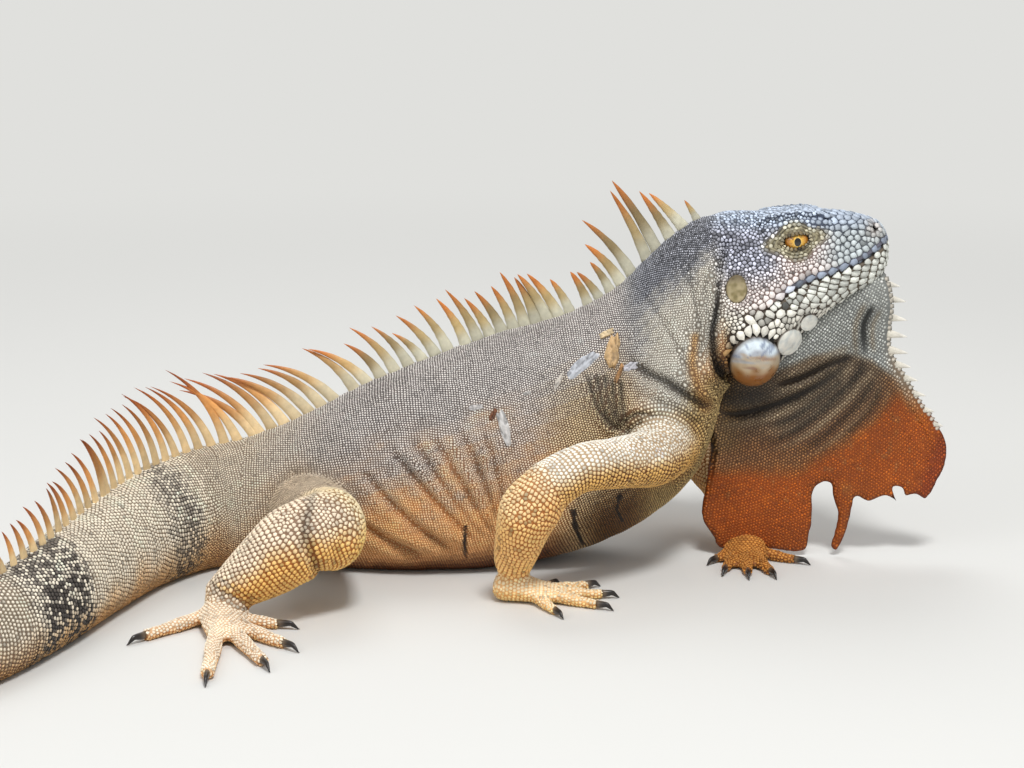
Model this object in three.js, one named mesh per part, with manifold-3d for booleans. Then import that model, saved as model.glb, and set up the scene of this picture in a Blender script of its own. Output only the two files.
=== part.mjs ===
// A life-size adult male green iguana resting on its belly, with the chest and head raised on the forelegs.
// Millimetres, +X towards the snout, +Y towards the animal's left, +Z up, floor at z = 0.
// The origin is on the floor under the belly.
import * as THREE from "three";
import { mergeVertices } from "three/addons/utils/BufferGeometryUtils.js";
import Module from "manifold-3d";

const wasm = await Module();
wasm.setup();

// ---------------------------------------------------------------- driving dimensions
const GAP = 0.3; // clearance between neighbouring pieces
const SLIVER = 0.06; // joins and cuts leave edges shorter than this, which are closed up
const FLOOR = 0; // whatever would reach below this is pressed flat on it
const RIGHT = -1; // side signs along Y
const LEFT = 1;

// The body from the neck to the root of the tail. Each section leans from its bottom point to its top point,
// both in the plane of symmetry. half is the half width, belt the height share of the widest level, roof the
// squareness of the upper half (under 2 is a ridge, over 2 is boxy) and keel that of the lower half.
const BODY = [
  { name: "tail root", top: [-95, 67], bottom: [-95, -5], half: 30, belt: 0.45, roof: 1.7, keel: 2.1 },
  { name: "pelvis", top: [-63, 80], bottom: [-60, -5], half: 37, belt: 0.42, roof: 1.7, keel: 2.3 },
  { name: "loin", top: [-32, 96], bottom: [-28, -5], half: 44, belt: 0.4, roof: 1.75, keel: 2.5 },
  { name: "belly", top: [5, 112], bottom: [5, -5], half: 48, belt: 0.4, roof: 1.8, keel: 2.6 },
  { name: "rear ribs", top: [42, 125], bottom: [45, -3.5], half: 48, belt: 0.42, roof: 1.8, keel: 2.4 },
  { name: "front ribs", top: [76, 135], bottom: [88, 6], half: 44, belt: 0.42, roof: 1.8, keel: 2.2 },
  { name: "shoulders", top: [104, 149], bottom: [122, 21], half: 40, belt: 0.42, roof: 1.75, keel: 2.1 },
  { name: "neck base", top: [124, 168], bottom: [148, 44], half: 33, belt: 0.45, roof: 1.8, keel: 2 },
  { name: "neck", top: [140, 182], bottom: [160, 72], half: 30, belt: 0.5, roof: 1.9, keel: 2 },
  { name: "nape", top: [152, 188], bottom: [166, 96], half: 28, belt: 0.5, roof: 2, keel: 2 },
  { name: "inside head", top: [162, 188], bottom: [174, 112], half: 22, belt: 0.5, roof: 2, keel: 2 },
];

// The tail lies on the floor. Its course in plan starts at the tail root, swings to the right and trails
// behind.
const TAIL_COURSE = [
  [-95, 0], [-123, -14], [-148, -50], [-165, -102], [-179, -156], [-199, -207], [-236, -248],
  [-294, -270], [-368, -270], [-460, -246], [-560, -212], [-660, -188], [-755, -180], [-820, -186],
];
// Height and half width along the tail, by distance from the root.
const TAIL = [
  { at: 0, top: 67, half: 30 },
  { at: 60, top: 60, half: 27.5 },
  { at: 130, top: 53, half: 24.5 },
  { at: 220, top: 45, half: 20 },
  { at: 330, top: 34, half: 15.5 },
  { at: 450, top: 25, half: 11.5 },
  { at: 580, top: 17, half: 8 },
  { at: 700, top: 10, half: 5 },
  { at: 800, top: 5.2, half: 2.8 },
  { at: 860, top: 2.6, half: 1.3 },
];
const TAIL_CUTS = [110, 230, 360, 510, 680, 850]; // where each length of the tail ends, from its root
const NECK_FRONT = 170; // the neck starts inside the back of the head
const TAIL_SAG = 0.08; // the share of its height by which the tail is pressed flat on the floor

// The head: upright sections from the nape to the snout.
const HEAD = [
  { x: 148, top: 182, bottom: 134, half: 17, belt: 0.5, roof: 2.2, keel: 2 },
  { x: 156, top: 188, bottom: 119, half: 24, belt: 0.45, roof: 2.3, keel: 2 },
  { x: 163, top: 190.5, bottom: 108, half: 27.5, belt: 0.4, roof: 2.3, keel: 2 },
  { x: 171, top: 191, bottom: 100.5, half: 30, belt: 0.34, roof: 2.2, keel: 2 },
  { x: 181, top: 191, bottom: 99, half: 31, belt: 0.32, roof: 2.1, keel: 2 },
  { x: 191, top: 191.5, bottom: 106, half: 29, belt: 0.34, roof: 2.2, keel: 2 },
  { x: 203, top: 192.5, bottom: 122, half: 25, belt: 0.42, roof: 2.5, keel: 2.1 },
  { x: 216, top: 192, bottom: 134, half: 21.5, belt: 0.46, roof: 2.5, keel: 2.2 },
  { x: 230, top: 190.5, bottom: 144, half: 18, belt: 0.5, roof: 2.4, keel: 2.3 },
  { x: 240, top: 187.5, bottom: 149.5, half: 14.5, belt: 0.52, roof: 2.3, keel: 2.3 },
  { x: 246.5, top: 184, bottom: 154, half: 10.5, belt: 0.55, roof: 2.2, keel: 2.2 },
  { x: 249.5, top: 179.5, bottom: 160, half: 6, belt: 0.55, roof: 2, keel: 2 },
];
const MOUTH = { front: [254, 176], rear: [173, 146] }; // the line between the jaws, seen from the side
const MOUTH_END = 176; // how far back the jaws part

const EYE = { at: [199, 15.4, 177], radius: 8 };
// The round pieces set in the cheek: the eardrum, and the shields under it from the largest forward.
// at is [x, z], dome stands proud of the skin and depth is let into it.
const EAR = { name: "ear", at: [167.5, 153], radius: 6.4, dome: 0.2, depth: 2 };
const SHIELDS = [
  { name: "shield_main", at: [179, 114.5], radius: 13.2, dome: 4.2, depth: 3 },
  { name: "shield_second", at: [196.2, 123.3], radius: 7.4, dome: 2.4, depth: 2.5 },
  { name: "shield_third", at: [206.6, 132.4], radius: 4.6, dome: 1.6, depth: 2 },
];
const PIT_REACH = 12; // how far out of the cheek the cutters for those pieces stand

// The throat fan: a thin sheet in the plane of symmetry with a torn lower edge, as [x, z] from the chest
// round the free edge to the chin and back along the throat inside the head.
const FAN_EDGE = [
  [150, 84], [157, 65], [155.5, 42], [153.5, 30], [154, 20], [159.5, 12], [163, 4.6], [176, 4],
  [192, 3.2], [211, 3], [213.5, 12], [215, 24], [214.6, 35], [218, 40.5], [223.4, 41], [224.6, 35],
  [227.6, 24], [226, 12], [224.6, 5], [228, 3], [232.8, 11], [236.8, 28], [238, 33], [245, 30.5],
  [254, 33.4], [260.6, 30.5], [258.4, 38.6], [262, 38], [265, 33.6], [270, 34.4], [276, 31.7],
  [282.4, 42], [286.6, 52], [287, 61.5], [282.3, 73], [273.5, 85], [265, 98.7], [257.6, 110],
  [254.6, 119], [254.2, 143], [252, 152], [248, 159], [225, 150], [200, 136], [175, 118], [158, 100],
];
const FAN = { edgeHalf: 1.15, rootHalf: 9.5, fade: 17 }; // half thickness at the free edge and the throat
const FAN_BOX = { low: [146, 0.5], high: [292, 164], columns: 5, rows: 6, depth: 40 };
// The line that the fan hangs from, under the jaw and down the front of the chest.
const FAN_ROOT = [[153, 60], [160, 82], [176, 100], [196, 112], [215, 131], [232, 142], [247, 150]];
// The soft spikes down the leading edge of the throat, as [x, z, length].
const THROAT_SPIKES = [
  [252.5, 151, 6], [254, 143, 8], [254, 133, 9], [253.8, 124, 9.5], [255, 115, 9],
  [259, 107, 7], [264, 99.5, 6], [269.5, 91, 5], [275.5, 82, 4], [281, 74, 3.5],
];

// Limbs as joints of a chain, each [x, y, z, radius across, radius in height], for the right side (y < 0).
const RIGHT_ARM = {
  upper: [
    [134, -16, 70, 18, 21], [124, -44, 67, 14.5, 16], [104, -66, 69, 13.3, 13.3],
    [84, -82, 70, 12.3, 12.3], [68, -90, 63, 13, 13.5],
  ],
  lower: [
    [68, -89, 63, 13, 13.5], [59, -93, 51, 15.2, 15.5], [54, -89, 36, 13, 13], [51, -79, 20, 10.2, 9.6],
  ],
};
const LEFT_ARM = {
  upper: [
    [134, 16, 70, 18, 21], [130, 44, 66, 15, 16], [134, 64, 63, 13.3, 13.3], [144, 79, 58, 12.5, 13],
  ],
  lower: [
    [144, 78, 58, 13, 13.5], [154, 64, 48, 14, 14], [168, 36, 31, 12, 11.5], [178, 12, 18, 10, 8.8],
  ],
};
const RIGHT_LEG = {
  upper: [
    [-60, -12, 31, 23, 24], [-55, -45, 34, 22, 22], [-47, -78, 39, 21, 22], [-40, -103, 44, 17.5, 20.5],
  ],
  lower: [
    [-42, -105, 46, 17, 18.5], [-58, -112, 39, 19, 20], [-76, -114, 26, 15.8, 16],
    [-94, -111, 13, 11.3, 10.3],
  ],
};

// Hands and feet lie on the floor. heading is the way the middle of a paw points, in degrees in plan from +X
// towards +Y. Each digit has its root, as [ahead, inward] of the wrist or ankle, its turn inward from the
// heading, and its length.
const HAND = {
  palm: 20, halfWidth: 12.5, height: 12.5, claw: 9.5,
  digits: [
    { root: [9, 8], splay: 62, length: 15, radius: 3.4 },
    { root: [16, 7], splay: 38, length: 24, radius: 3.6 },
    { root: [19, 2], splay: 10, length: 26, radius: 3.7 },
    { root: [18, -3.5], splay: -18, length: 27, radius: 3.7 },
    { root: [12, -8], splay: -56, length: 20, radius: 3.5 },
  ],
};
const FOOT = {
  palm: 32, halfWidth: 12, height: 14.5, claw: 11.5,
  digits: [
    { root: [13, 8.5], splay: 74, length: 20, radius: 3.9 },
    { root: [25, 8], splay: 42, length: 33, radius: 4.1 },
    { root: [30, 3.5], splay: 20, length: 47, radius: 4.3 },
    { root: [28, -2.5], splay: -3, length: 63, radius: 4.4 },
    { root: [5, -7.5], splay: -50, length: 40, radius: 4 },
  ],
};
const PALM_LIFT = 0.88; // the height of a palm's middle as a share of half its thickness: its sole lies flat
const NARROW = [38, 14, -2, -17, -66]; // the turns of the left hand's digits, bunched under the throat fan
// turn mirrors a chain across the plane of symmetry, and side says which way a paw's inner edge lies.
const LIMBS = [
  {
    upper: "upper_arm_right", lower: "forearm_right", chain: RIGHT_ARM, turn: 1,
    paw: { ...HAND, name: "hand_right", at: [52, -79], heading: -7, side: RIGHT },
  },
  {
    upper: "upper_arm_left", lower: "forearm_left", chain: LEFT_ARM, turn: 1,
    paw: {
      ...HAND, name: "hand_left", at: [179, 6], heading: -93, side: LEFT,
      digits: HAND.digits.map((digit, i) => ({ ...digit, splay: NARROW[i] })),
    },
  },
  {
    upper: "thigh_right", lower: "shank_right", chain: RIGHT_LEG, turn: 1,
    paw: { ...FOOT, name: "foot_right", at: [-94, -112], heading: -84, side: RIGHT },
  },
  {
    upper: "thigh_left", lower: "shank_left", chain: RIGHT_LEG, turn: -1,
    paw: { ...FOOT, name: "foot_left", at: [-94, 112], heading: 38, side: LEFT },
  },
];

// The crest of spines down the back. at is the place along the body, as the middle of a BODY section, and on
// down the tail minus the distance from its root. lean is the angle in degrees that a spine's root tips back
// from square to the back, and curl how much further its tip does.
const CREST = [
  { at: 156, length: 13, lean: 6, curl: 8, spacing: 5.5 },
  { at: 150, length: 26, lean: 4, curl: 10, spacing: 5.5 },
  { at: 145, length: 30, lean: -10, curl: 10, spacing: 6.2 },
  { at: 139, length: 45, lean: -20, curl: 12, spacing: 6.8 },
  { at: 132, length: 43, lean: -24, curl: 14, spacing: 6.8 },
  { at: 123, length: 37, lean: -18, curl: 26, spacing: 6.6 },
  { at: 112, length: 22, lean: -4, curl: 22, spacing: 6.6 },
  { at: 98, length: 22, lean: 0, curl: 18, spacing: 6.6 },
  { at: 82, length: 31, lean: 4, curl: 20, spacing: 6.8 },
  { at: 40, length: 31, lean: 6, curl: 22, spacing: 7 },
  { at: 0, length: 30, lean: 8, curl: 32, spacing: 7 },
  { at: -40, length: 40, lean: 10, curl: 42, spacing: 7 },
  { at: -90, length: 51, lean: 10, curl: 48, spacing: 7.2 },
  { at: -170, length: 47, lean: 10, curl: 46, spacing: 7.6 },
  { at: -260, length: 30, lean: 10, curl: 42, spacing: 9 },
  { at: -360, length: 14, lean: 14, curl: 34, spacing: 11 },
  { at: -440, length: 6, lean: 20, curl: 30, spacing: 13 },
];
const SPINE = { base: 7, halfThick: 1.3, sink: 2.5 };
const RAGGED = { from: -20, to: 118 }; // the stretch of the back where the spines are worn to uneven lengths

// ---------------------------------------------------------------- solids and geometry
const vec = (x, y, z) => new THREE.Vector3(x, y, z);

// A repeatable number from 0 to 1 for the nth of a kind of thing.
function chance(n, kind) {
  const s = Math.sin(n * 12.9898 + kind * 78.233) * 43758.5453;
  return s - Math.floor(s);
}

// The value at a place on a smooth line through keys, which rise.
function smooth(keys, values, at) {
  const last = keys.length - 1;
  if (at <= keys[0]) return values[0];
  if (at >= keys[last]) return values[last];
  let i = 0;
  while (keys[i + 1] < at) i += 1;
  const slope = (k) => {
    const a = Math.max(k - 1, 0);
    const b = Math.min(k + 1, last);
    return (values[b] - values[a]) / (keys[b] - keys[a]);
  };
  const step = keys[i + 1] - keys[i];
  const t = (at - keys[i]) / step;
  const u = 1 - t;
  return values[i] * (1 + 2 * t) * u * u + slope(i) * step * t * u * u
    + values[i + 1] * (3 - 2 * t) * t * t - slope(i + 1) * step * u * t * t;
}

function solidOf(geometry) {
  const bare = geometry.clone();
  const unwanted = Object.keys(bare.attributes).filter((name) => name !== "position");
  unwanted.forEach((name) => bare.deleteAttribute(name));
  const merged = mergeVertices(bare, 1e-4);
  const mesh = new wasm.Mesh({
    numProp: 3,
    vertProperties: new Float32Array(merged.attributes.position.array),
    triVerts: new Uint32Array(merged.index.array),
  });
  const made = new wasm.Manifold(mesh);
  if (made.volume() >= 0) return made;
  const triVerts = mesh.triVerts.slice().reverse();
  return new wasm.Manifold(new wasm.Mesh({ numProp: 3, vertProperties: mesh.vertProperties, triVerts }));
}

function geometryOf(solid) {
  const mesh = solid.getMesh();
  const places = new Float32Array(mesh.numVert * 3);
  for (let i = 0; i < mesh.numVert; i += 1) {
    places.set(mesh.vertProperties.subarray(i * mesh.numProp, i * mesh.numProp + 3), i * 3);
  }
  return new THREE.BufferGeometry()
    .setAttribute("position", new THREE.BufferAttribute(places, 3))
    .setIndex(new THREE.BufferAttribute(new Uint32Array(mesh.triVerts), 1));
}

// A closed solid through rings of points, with a fan over each end, the last one to tip if there is one.
function loft(rings, tip) {
  rings.forEach(rest);
  const around = rings[0].length;
  const places = rings.flat();
  const ends = [rings[0], rings[rings.length - 1]].map((ring) => {
    const middle = vec(0, 0, 0);
    ring.forEach((p) => middle.addScaledVector(p, 1 / around));
    return places.push(middle) - 1;
  });
  if (tip) places[ends[1]].copy(tip);
  const faces = [];
  for (let j = 0; j < around; j += 1) {
    const k = (j + 1) % around;
    for (let i = 0; i + 1 < rings.length; i += 1) {
      const a = i * around;
      const b = a + around;
      faces.push(a + j, a + k, b + j, a + k, b + k, b + j);
    }
    const end = (rings.length - 1) * around;
    faces.push(ends[0], k, j, ends[1], end + j, end + k);
  }
  const geometry = new THREE.BufferGeometry().setFromPoints(places).setIndex(faces);
  return solidOf(geometry);
}

// A point's share of a half axis on a rounded outline: squareness 2 is an ellipse, over 2 is boxier.
const bowed = (value, squareness) => Math.sign(value) * Math.abs(value) ** (2 / squareness);

// One upright section: bottom and top are points, side is the unit vector across.
function section(shape, bottom, top, side, around, grow) {
  const ring = [];
  const tall = top.distanceTo(bottom);
  for (let j = 0; j < around; j += 1) {
    const angle = (j / around) * 2 * Math.PI;
    const upper = Math.sin(angle) >= 0;
    const squareness = upper ? shape.roof : shape.keel;
    const across = bowed(Math.cos(angle), squareness) * (shape.half + grow);
    const rise = bowed(Math.sin(angle), squareness);
    const share = upper
      ? shape.belt + rise * (1 - shape.belt + grow / tall)
      : shape.belt + rise * (shape.belt + grow / tall);
    ring.push(bottom.clone().lerp(top, share).addScaledVector(side, across));
  }
  return ring;
}

// A tube through stations [x, y, z, across, height], rounded over its ends, or cut off square at the far one.
function limb(stations, around, steps, grow = 0, blunt = false) {
  const curve = new THREE.CatmullRomCurve3(stations.map((p) => vec(p[0], p[1], p[2])), false, "centripetal");
  const keys = stations.map((_, i) => i / (stations.length - 1));
  const rings = [];
  const ring = (t, out, shrink) => {
    const ahead = curve.getTangent(t);
    const side = vec(0, 0, 1).cross(ahead);
    if (side.length() < 0.2) side.set(0, 1, 0);
    side.normalize();
    const up = ahead.clone().cross(side);
    const wide = (smooth(keys, stations.map((p) => p[3]), t) + grow) * shrink;
    const high = (smooth(keys, stations.map((p) => p[4]), t) + grow) * shrink;
    const middle = curve.getPoint(t).addScaledVector(ahead, out * (high / shrink));
    const points = [];
    for (let j = 0; j < around; j += 1) {
      const angle = ((j + 0.5) / around - 0.25) * 2 * Math.PI; // a flat edge at the bottom
      points.push(middle.clone().addScaledVector(side, Math.cos(angle) * wide)
        .addScaledVector(up, Math.sin(angle) * high));
    }
    rings.push(points);
  };
  ring(0, -0.62, 0.6);
  for (let i = 0; i <= steps; i += 1) ring(i / steps, 0, 1);
  if (!blunt) ring(1, 0.62, 0.6);
  return loft(rings);
}

// Presses whatever is under the floor flat on it.
const rest = (points) => points.forEach((p) => p.setZ(Math.max(p.z, FLOOR)));
const biggest = (solid) => solid.decompose().sort((a, b) => b.volume() - a.volume())[0];
const joined = (solids) => solids.reduce((all, one) => all.add(one));

// ---------------------------------------------------------------- the trunk, neck and tail
const middle = (shape) => (shape.top[0] + shape.bottom[0]) / 2;
const ROOT = middle(BODY[0]);
const tailCurve = new THREE.CatmullRomCurve3(TAIL_COURSE.map(([x, y]) => vec(x, y, 0)), false, "centripetal");
const tailLength = tailCurve.getLength();

// The section of the body at a place, which is its middle in x, or behind the tail root minus the distance.
function bodySection(place, around, grow = 0) {
  if (place >= ROOT) {
    const keys = BODY.map(middle);
    const of = (value) => smooth(keys, BODY.map(value), place);
    const shape = {
      half: of((s) => s.half),
      belt: of((s) => s.belt),
      roof: of((s) => s.roof),
      keel: of((s) => s.keel),
    };
    const top = vec(of((s) => s.top[0]), 0, of((s) => s.top[1]));
    const bottom = vec(of((s) => s.bottom[0]), 0, of((s) => s.bottom[1]));
    return section(shape, bottom, top, vec(0, 1, 0), around, grow);
  }
  const distance = ROOT - place;
  const { point, ahead } = tailPlan(distance);
  const keys = TAIL.map((s) => s.at);
  const half = smooth(keys, TAIL.map((s) => s.half), distance);
  const high = smooth(keys, TAIL.map((s) => s.top), distance);
  const shape = { half, belt: 0.45, roof: 1.8, keel: 2.1 };
  const side = vec(0, 0, 1).cross(ahead);
  const bottom = vec(point.x, point.y, -TAIL_SAG * high);
  const top = vec(point.x, point.y, high);
  return section(shape, bottom, top, side, around, grow);
}

// Where the tail is in plan at a distance from its root, and the way forward there, towards the head.
function tailPlan(distance) {
  const t = Math.min(distance / tailLength, 1);
  return { point: tailCurve.getPointAt(t), ahead: tailCurve.getTangentAt(t).negate() };
}

function bodyBetween(front, rear, steps, around, grow = 0) {
  const rings = [];
  for (let i = 0; i <= steps; i += 1) {
    rings.push(bodySection(front + ((rear - front) * i) / steps, around, grow));
  }
  return loft(rings);
}

// ---------------------------------------------------------------- the crest
const crestKeys = CREST.map((s) => s.at).reverse();
const crestValue = (name, at) => smooth(crestKeys, CREST.map((s) => s[name]).reverse(), at);

// One spine: a blade that bends back, with three corners to a section and a pointed tip.
function crestSpine(place, index) {
  const root = bodySection(place, 4)[1];
  const back = bodySection(place - 3, 4)[1].sub(root).normalize();
  const side = vec(0, 0, 1).cross(back).normalize();
  const up = side.clone().cross(back).multiplyScalar(-1);
  if (up.z < 0) up.negate();
  const worn = place > RAGGED.from && place < RAGGED.to;
  const ragged = worn ? 0.7 + 0.36 * chance(index, 1) : 0.9 + 0.14 * chance(index, 1);
  const length = crestValue("length", place) * ragged;
  const lean = THREE.MathUtils.degToRad(crestValue("lean", place) + 12 * (chance(index, 3) - 0.5));
  const curl = THREE.MathUtils.degToRad(crestValue("curl", place));
  const sway = (chance(index, 2) - 0.5) * 0.14;
  const base = Math.min(SPINE.base, 2.2 + length * 0.2);
  const bend = (f) => lean + curl * f;
  const at = (f) => root.clone()
    .addScaledVector(up, length * f * Math.cos(bend(f / 2)))
    .addScaledVector(back, length * f * Math.sin(bend(f / 2)))
    .addScaledVector(side, length * f * f * sway);
  const rings = [-SPINE.sink / length, 0.5].map((f) => {
    const across = back.clone().multiplyScalar(Math.cos(bend(f))).addScaledVector(up, -Math.sin(bend(f)));
    const share = (1 - Math.max(f, 0)) ** 0.8;
    const wide = (base / 2) * share;
    const thick = SPINE.halfThick * share ** 0.6 * Math.min(1, 0.5 + length / 50);
    return [[-wide, thick], [wide, 0], [-wide, -thick]].map(([a, b]) => (
      at(f).addScaledVector(across, a).addScaledVector(side, b)
    ));
  });
  return { place, solid: loft(rings, at(1)) };
}

// The crest is planted clear of the cuts between the lengths of the body.
function crestSpines(cuts) {
  const spines = [];
  const margin = SPINE.base * 0.66;
  for (let at = CREST[0].at; at > CREST[CREST.length - 1].at; at -= crestValue("spacing", at)) {
    const near = cuts.find((cut) => Math.abs(cut - at) < margin);
    if (near !== undefined) at = near + margin * Math.sign(at - near);
    spines.push(crestSpine(at, spines.length));
  }
  return spines;
}

// ---------------------------------------------------------------- the head
function headSolid(grow = 0) {
  const keys = HEAD.map((s) => s.x);
  const around = 16;
  const rings = [];
  const steps = 12;
  for (let i = 0; i <= steps; i += 1) {
    const x = keys[0] + ((keys[keys.length - 1] - keys[0]) * i) / steps;
    const of = (name) => smooth(keys, HEAD.map((s) => s[name]), x);
    const shape = { half: of("half"), belt: of("belt"), roof: of("roof"), keel: of("keel") };
    rings.push(section(shape, vec(x, 0, of("bottom")), vec(x, 0, of("top")), vec(0, 1, 0), around, grow));
  }
  const shift = (ring, dx) => ring.map((p) => p.clone().add(vec(dx, 0, 0)));
  const tip = rings[rings.length - 1];
  const centre = vec(0, 0, 0);
  tip.forEach((p) => centre.addScaledVector(p, 1 / around));
  rings.push(shift(tip.map((p) => p.clone().lerp(centre, 0.45)), 1.3 + grow));
  return loft(rings);
}

// A wedge below the mouth line, from MOUTH_END forward and clear of the head on every other side.
function belowMouth(raise) {
  const [fx, fz] = MOUTH.front;
  const [rx, rz] = MOUTH.rear;
  const slope = (fz - rz) / (fx - rx);
  const at = (x) => rz + slope * (x - rx) + raise;
  const start = MOUTH_END - raise;
  const shape = new THREE.Shape([
    new THREE.Vector2(start, at(start)), new THREE.Vector2(start + 14, 60), new THREE.Vector2(300, 60),
    new THREE.Vector2(300, at(300)),
  ]);
  const geometry = new THREE.ExtrudeGeometry(shape, { depth: 120, bevelEnabled: false });
  geometry.rotateX(Math.PI / 2).translate(0, 60, 0);
  return solidOf(geometry);
}

function ball(at, radius, scale = [1, 1, 1]) {
  const geometry = new THREE.SphereGeometry(radius, 9, 6);
  geometry.scale(...scale).translate(...at);
  return solidOf(geometry);
}

const mirrored = (at, side) => [at[0], at[1] * side, at[2]];

// The surface of the side of the head at a place seen from the side.
function cheekAt(x, z, side) {
  const keys = HEAD.map((s) => s.x);
  const of = (name) => smooth(keys, HEAD.map((s) => s[name]), x);
  const share = (z - of("bottom")) / (of("top") - of("bottom"));
  const above = share > of("belt");
  const rise = above ? (share - of("belt")) / (1 - of("belt")) : (of("belt") - share) / of("belt");
  const squareness = above ? of("roof") : of("keel");
  return vec(x, side * of("half") * (1 - rise ** squareness) ** (1 / squareness), z);
}

// A turned solid standing on the cheek, its axis square to the skin. profile holds [radius, height] pairs.
function onCheek([x, z], side, profile) {
  const at = cheekAt(x, z, side);
  const ahead = cheekAt(x + 2, z, side).sub(cheekAt(x - 2, z, side));
  const up = cheekAt(x, z + 2, side).sub(cheekAt(x, z - 2, side));
  const out = up.cross(ahead).multiplyScalar(-side).normalize();
  if (out.y * side < 0) out.negate();
  const around = profile[1][0] > 10 ? 12 : 8;
  const geometry = new THREE.LatheGeometry(profile.map(([r, h]) => new THREE.Vector2(r, h)), around);
  geometry.applyQuaternion(new THREE.Quaternion().setFromUnitVectors(vec(0, 1, 0), out));
  geometry.translate(at.x, at.y, at.z);
  return solidOf(geometry);
}

const plate = ({ at, radius, dome, depth }, side) => onCheek(at, side, [
  [0, -depth], [radius, -depth], [radius, 0], [radius * 0.62, dome * 0.8], [0, dome],
]);
const pit = ({ at, radius, depth }, side) => onCheek(at, side, [
  [0, -depth - GAP], [radius + GAP, -depth - GAP], [radius + GAP, PIT_REACH], [0, PIT_REACH],
]);

// ---------------------------------------------------------------- the throat fan
function distanceToRoot(x, z) {
  let least = Infinity;
  for (let i = 0; i + 1 < FAN_ROOT.length; i += 1) {
    const a = new THREE.Vector2(...FAN_ROOT[i]);
    const step = new THREE.Vector2(...FAN_ROOT[i + 1]).sub(a);
    const p = new THREE.Vector2(x, z).sub(a);
    const t = Math.min(Math.max(p.dot(step) / step.lengthSq(), 0), 1);
    least = Math.min(least, p.sub(step.multiplyScalar(t)).length());
  }
  return least;
}

// Half the thickness of the throat fan at a point.
const fanHalf = (x, z) => FAN.edgeHalf + FAN.rootHalf * Math.exp(-((distanceToRoot(x, z) / FAN.fade) ** 2));

function fanSheet() {
  const { low, high, columns, rows } = FAN_BOX;
  const places = [];
  for (const side of [RIGHT, LEFT]) {
    for (let i = 0; i <= columns; i += 1) {
      for (let j = 0; j <= rows; j += 1) {
        const x = low[0] + ((high[0] - low[0]) * i) / columns;
        const z = low[1] + ((high[1] - low[1]) * j) / rows;
        places.push(vec(x, side * fanHalf(x, z), z));
      }
    }
  }
  const per = (columns + 1) * (rows + 1);
  const index = (side, i, j) => side * per + i * (rows + 1) + j;
  const faces = [];
  const quad = (a, b, c, d) => faces.push(a, b, c, a, c, d);
  for (let i = 0; i < columns; i += 1) {
    for (let j = 0; j < rows; j += 1) {
      quad(index(0, i, j), index(0, i + 1, j), index(0, i + 1, j + 1), index(0, i, j + 1));
      quad(index(1, i, j), index(1, i, j + 1), index(1, i + 1, j + 1), index(1, i + 1, j));
    }
  }
  for (let i = 0; i < columns; i += 1) {
    quad(index(0, i, 0), index(1, i, 0), index(1, i + 1, 0), index(0, i + 1, 0));
    quad(index(0, i, rows), index(0, i + 1, rows), index(1, i + 1, rows), index(1, i, rows));
  }
  for (let j = 0; j < rows; j += 1) {
    quad(index(0, 0, j), index(0, 0, j + 1), index(1, 0, j + 1), index(1, 0, j));
    quad(index(0, columns, j), index(1, columns, j), index(1, columns, j + 1), index(0, columns, j + 1));
  }
  return solidOf(new THREE.BufferGeometry().setFromPoints(places).setIndex(faces));
}

function throatSpike([x, z, length]) {
  const geometry = new THREE.ConeGeometry(2.1, length + 3, 4);
  geometry.scale(1, 1, 0.8).rotateZ(-Math.PI * 0.5 - 0.12).translate(x + length / 2 - 1, 0, z);
  return solidOf(geometry);
}

function throatFan() {
  const outline = new THREE.Shape(FAN_EDGE.map(([x, z]) => new THREE.Vector2(x, z)));
  const prism = new THREE.ExtrudeGeometry(outline, { depth: FAN_BOX.depth, bevelEnabled: false });
  prism.rotateX(Math.PI / 2).translate(0, FAN_BOX.depth / 2, 0);
  return joined([fanSheet().intersect(solidOf(prism)), ...THROAT_SPIKES.map(throatSpike)]);
}

// ---------------------------------------------------------------- hands and feet
// The unit vectors of a paw: ahead along its middle digit and inward across it.
function pawAxes(paw) {
  const turn = THREE.MathUtils.degToRad(paw.heading);
  const ahead = vec(Math.cos(turn), Math.sin(turn), 0);
  const inward = vec(0, 0, 1).cross(ahead).multiplyScalar(-paw.side);
  return { ahead, inward };
}

function digitCourse(paw, digit) {
  const { ahead, inward } = pawAxes(paw);
  const splay = THREE.MathUtils.degToRad(digit.splay);
  const way = ahead.clone().multiplyScalar(Math.cos(splay)).addScaledVector(inward, Math.sin(splay));
  const root = vec(...paw.at, 0).addScaledVector(ahead, digit.root[0]).addScaledVector(inward, digit.root[1]);
  return { root, way };
}

function digitSolid(paw, digit, grow = 0) {
  const { root, way } = digitCourse(paw, digit);
  const r = digit.radius;
  const shares = [-0.12, 0.2, 0.45, 0.7, 1];
  const lifts = [1.3, 1, 0.84, 0.72, 0.68];
  const sizes = [1.15, 0.98, 1, 0.86, 0.82];
  const stations = shares.map((f, i) => {
    const at = root.clone().addScaledVector(way, digit.length * f);
    return [at.x, at.y, r * lifts[i], r * sizes[i], r * sizes[i]];
  });
  return limb(stations, 6, 2, grow, true);
}

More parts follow.
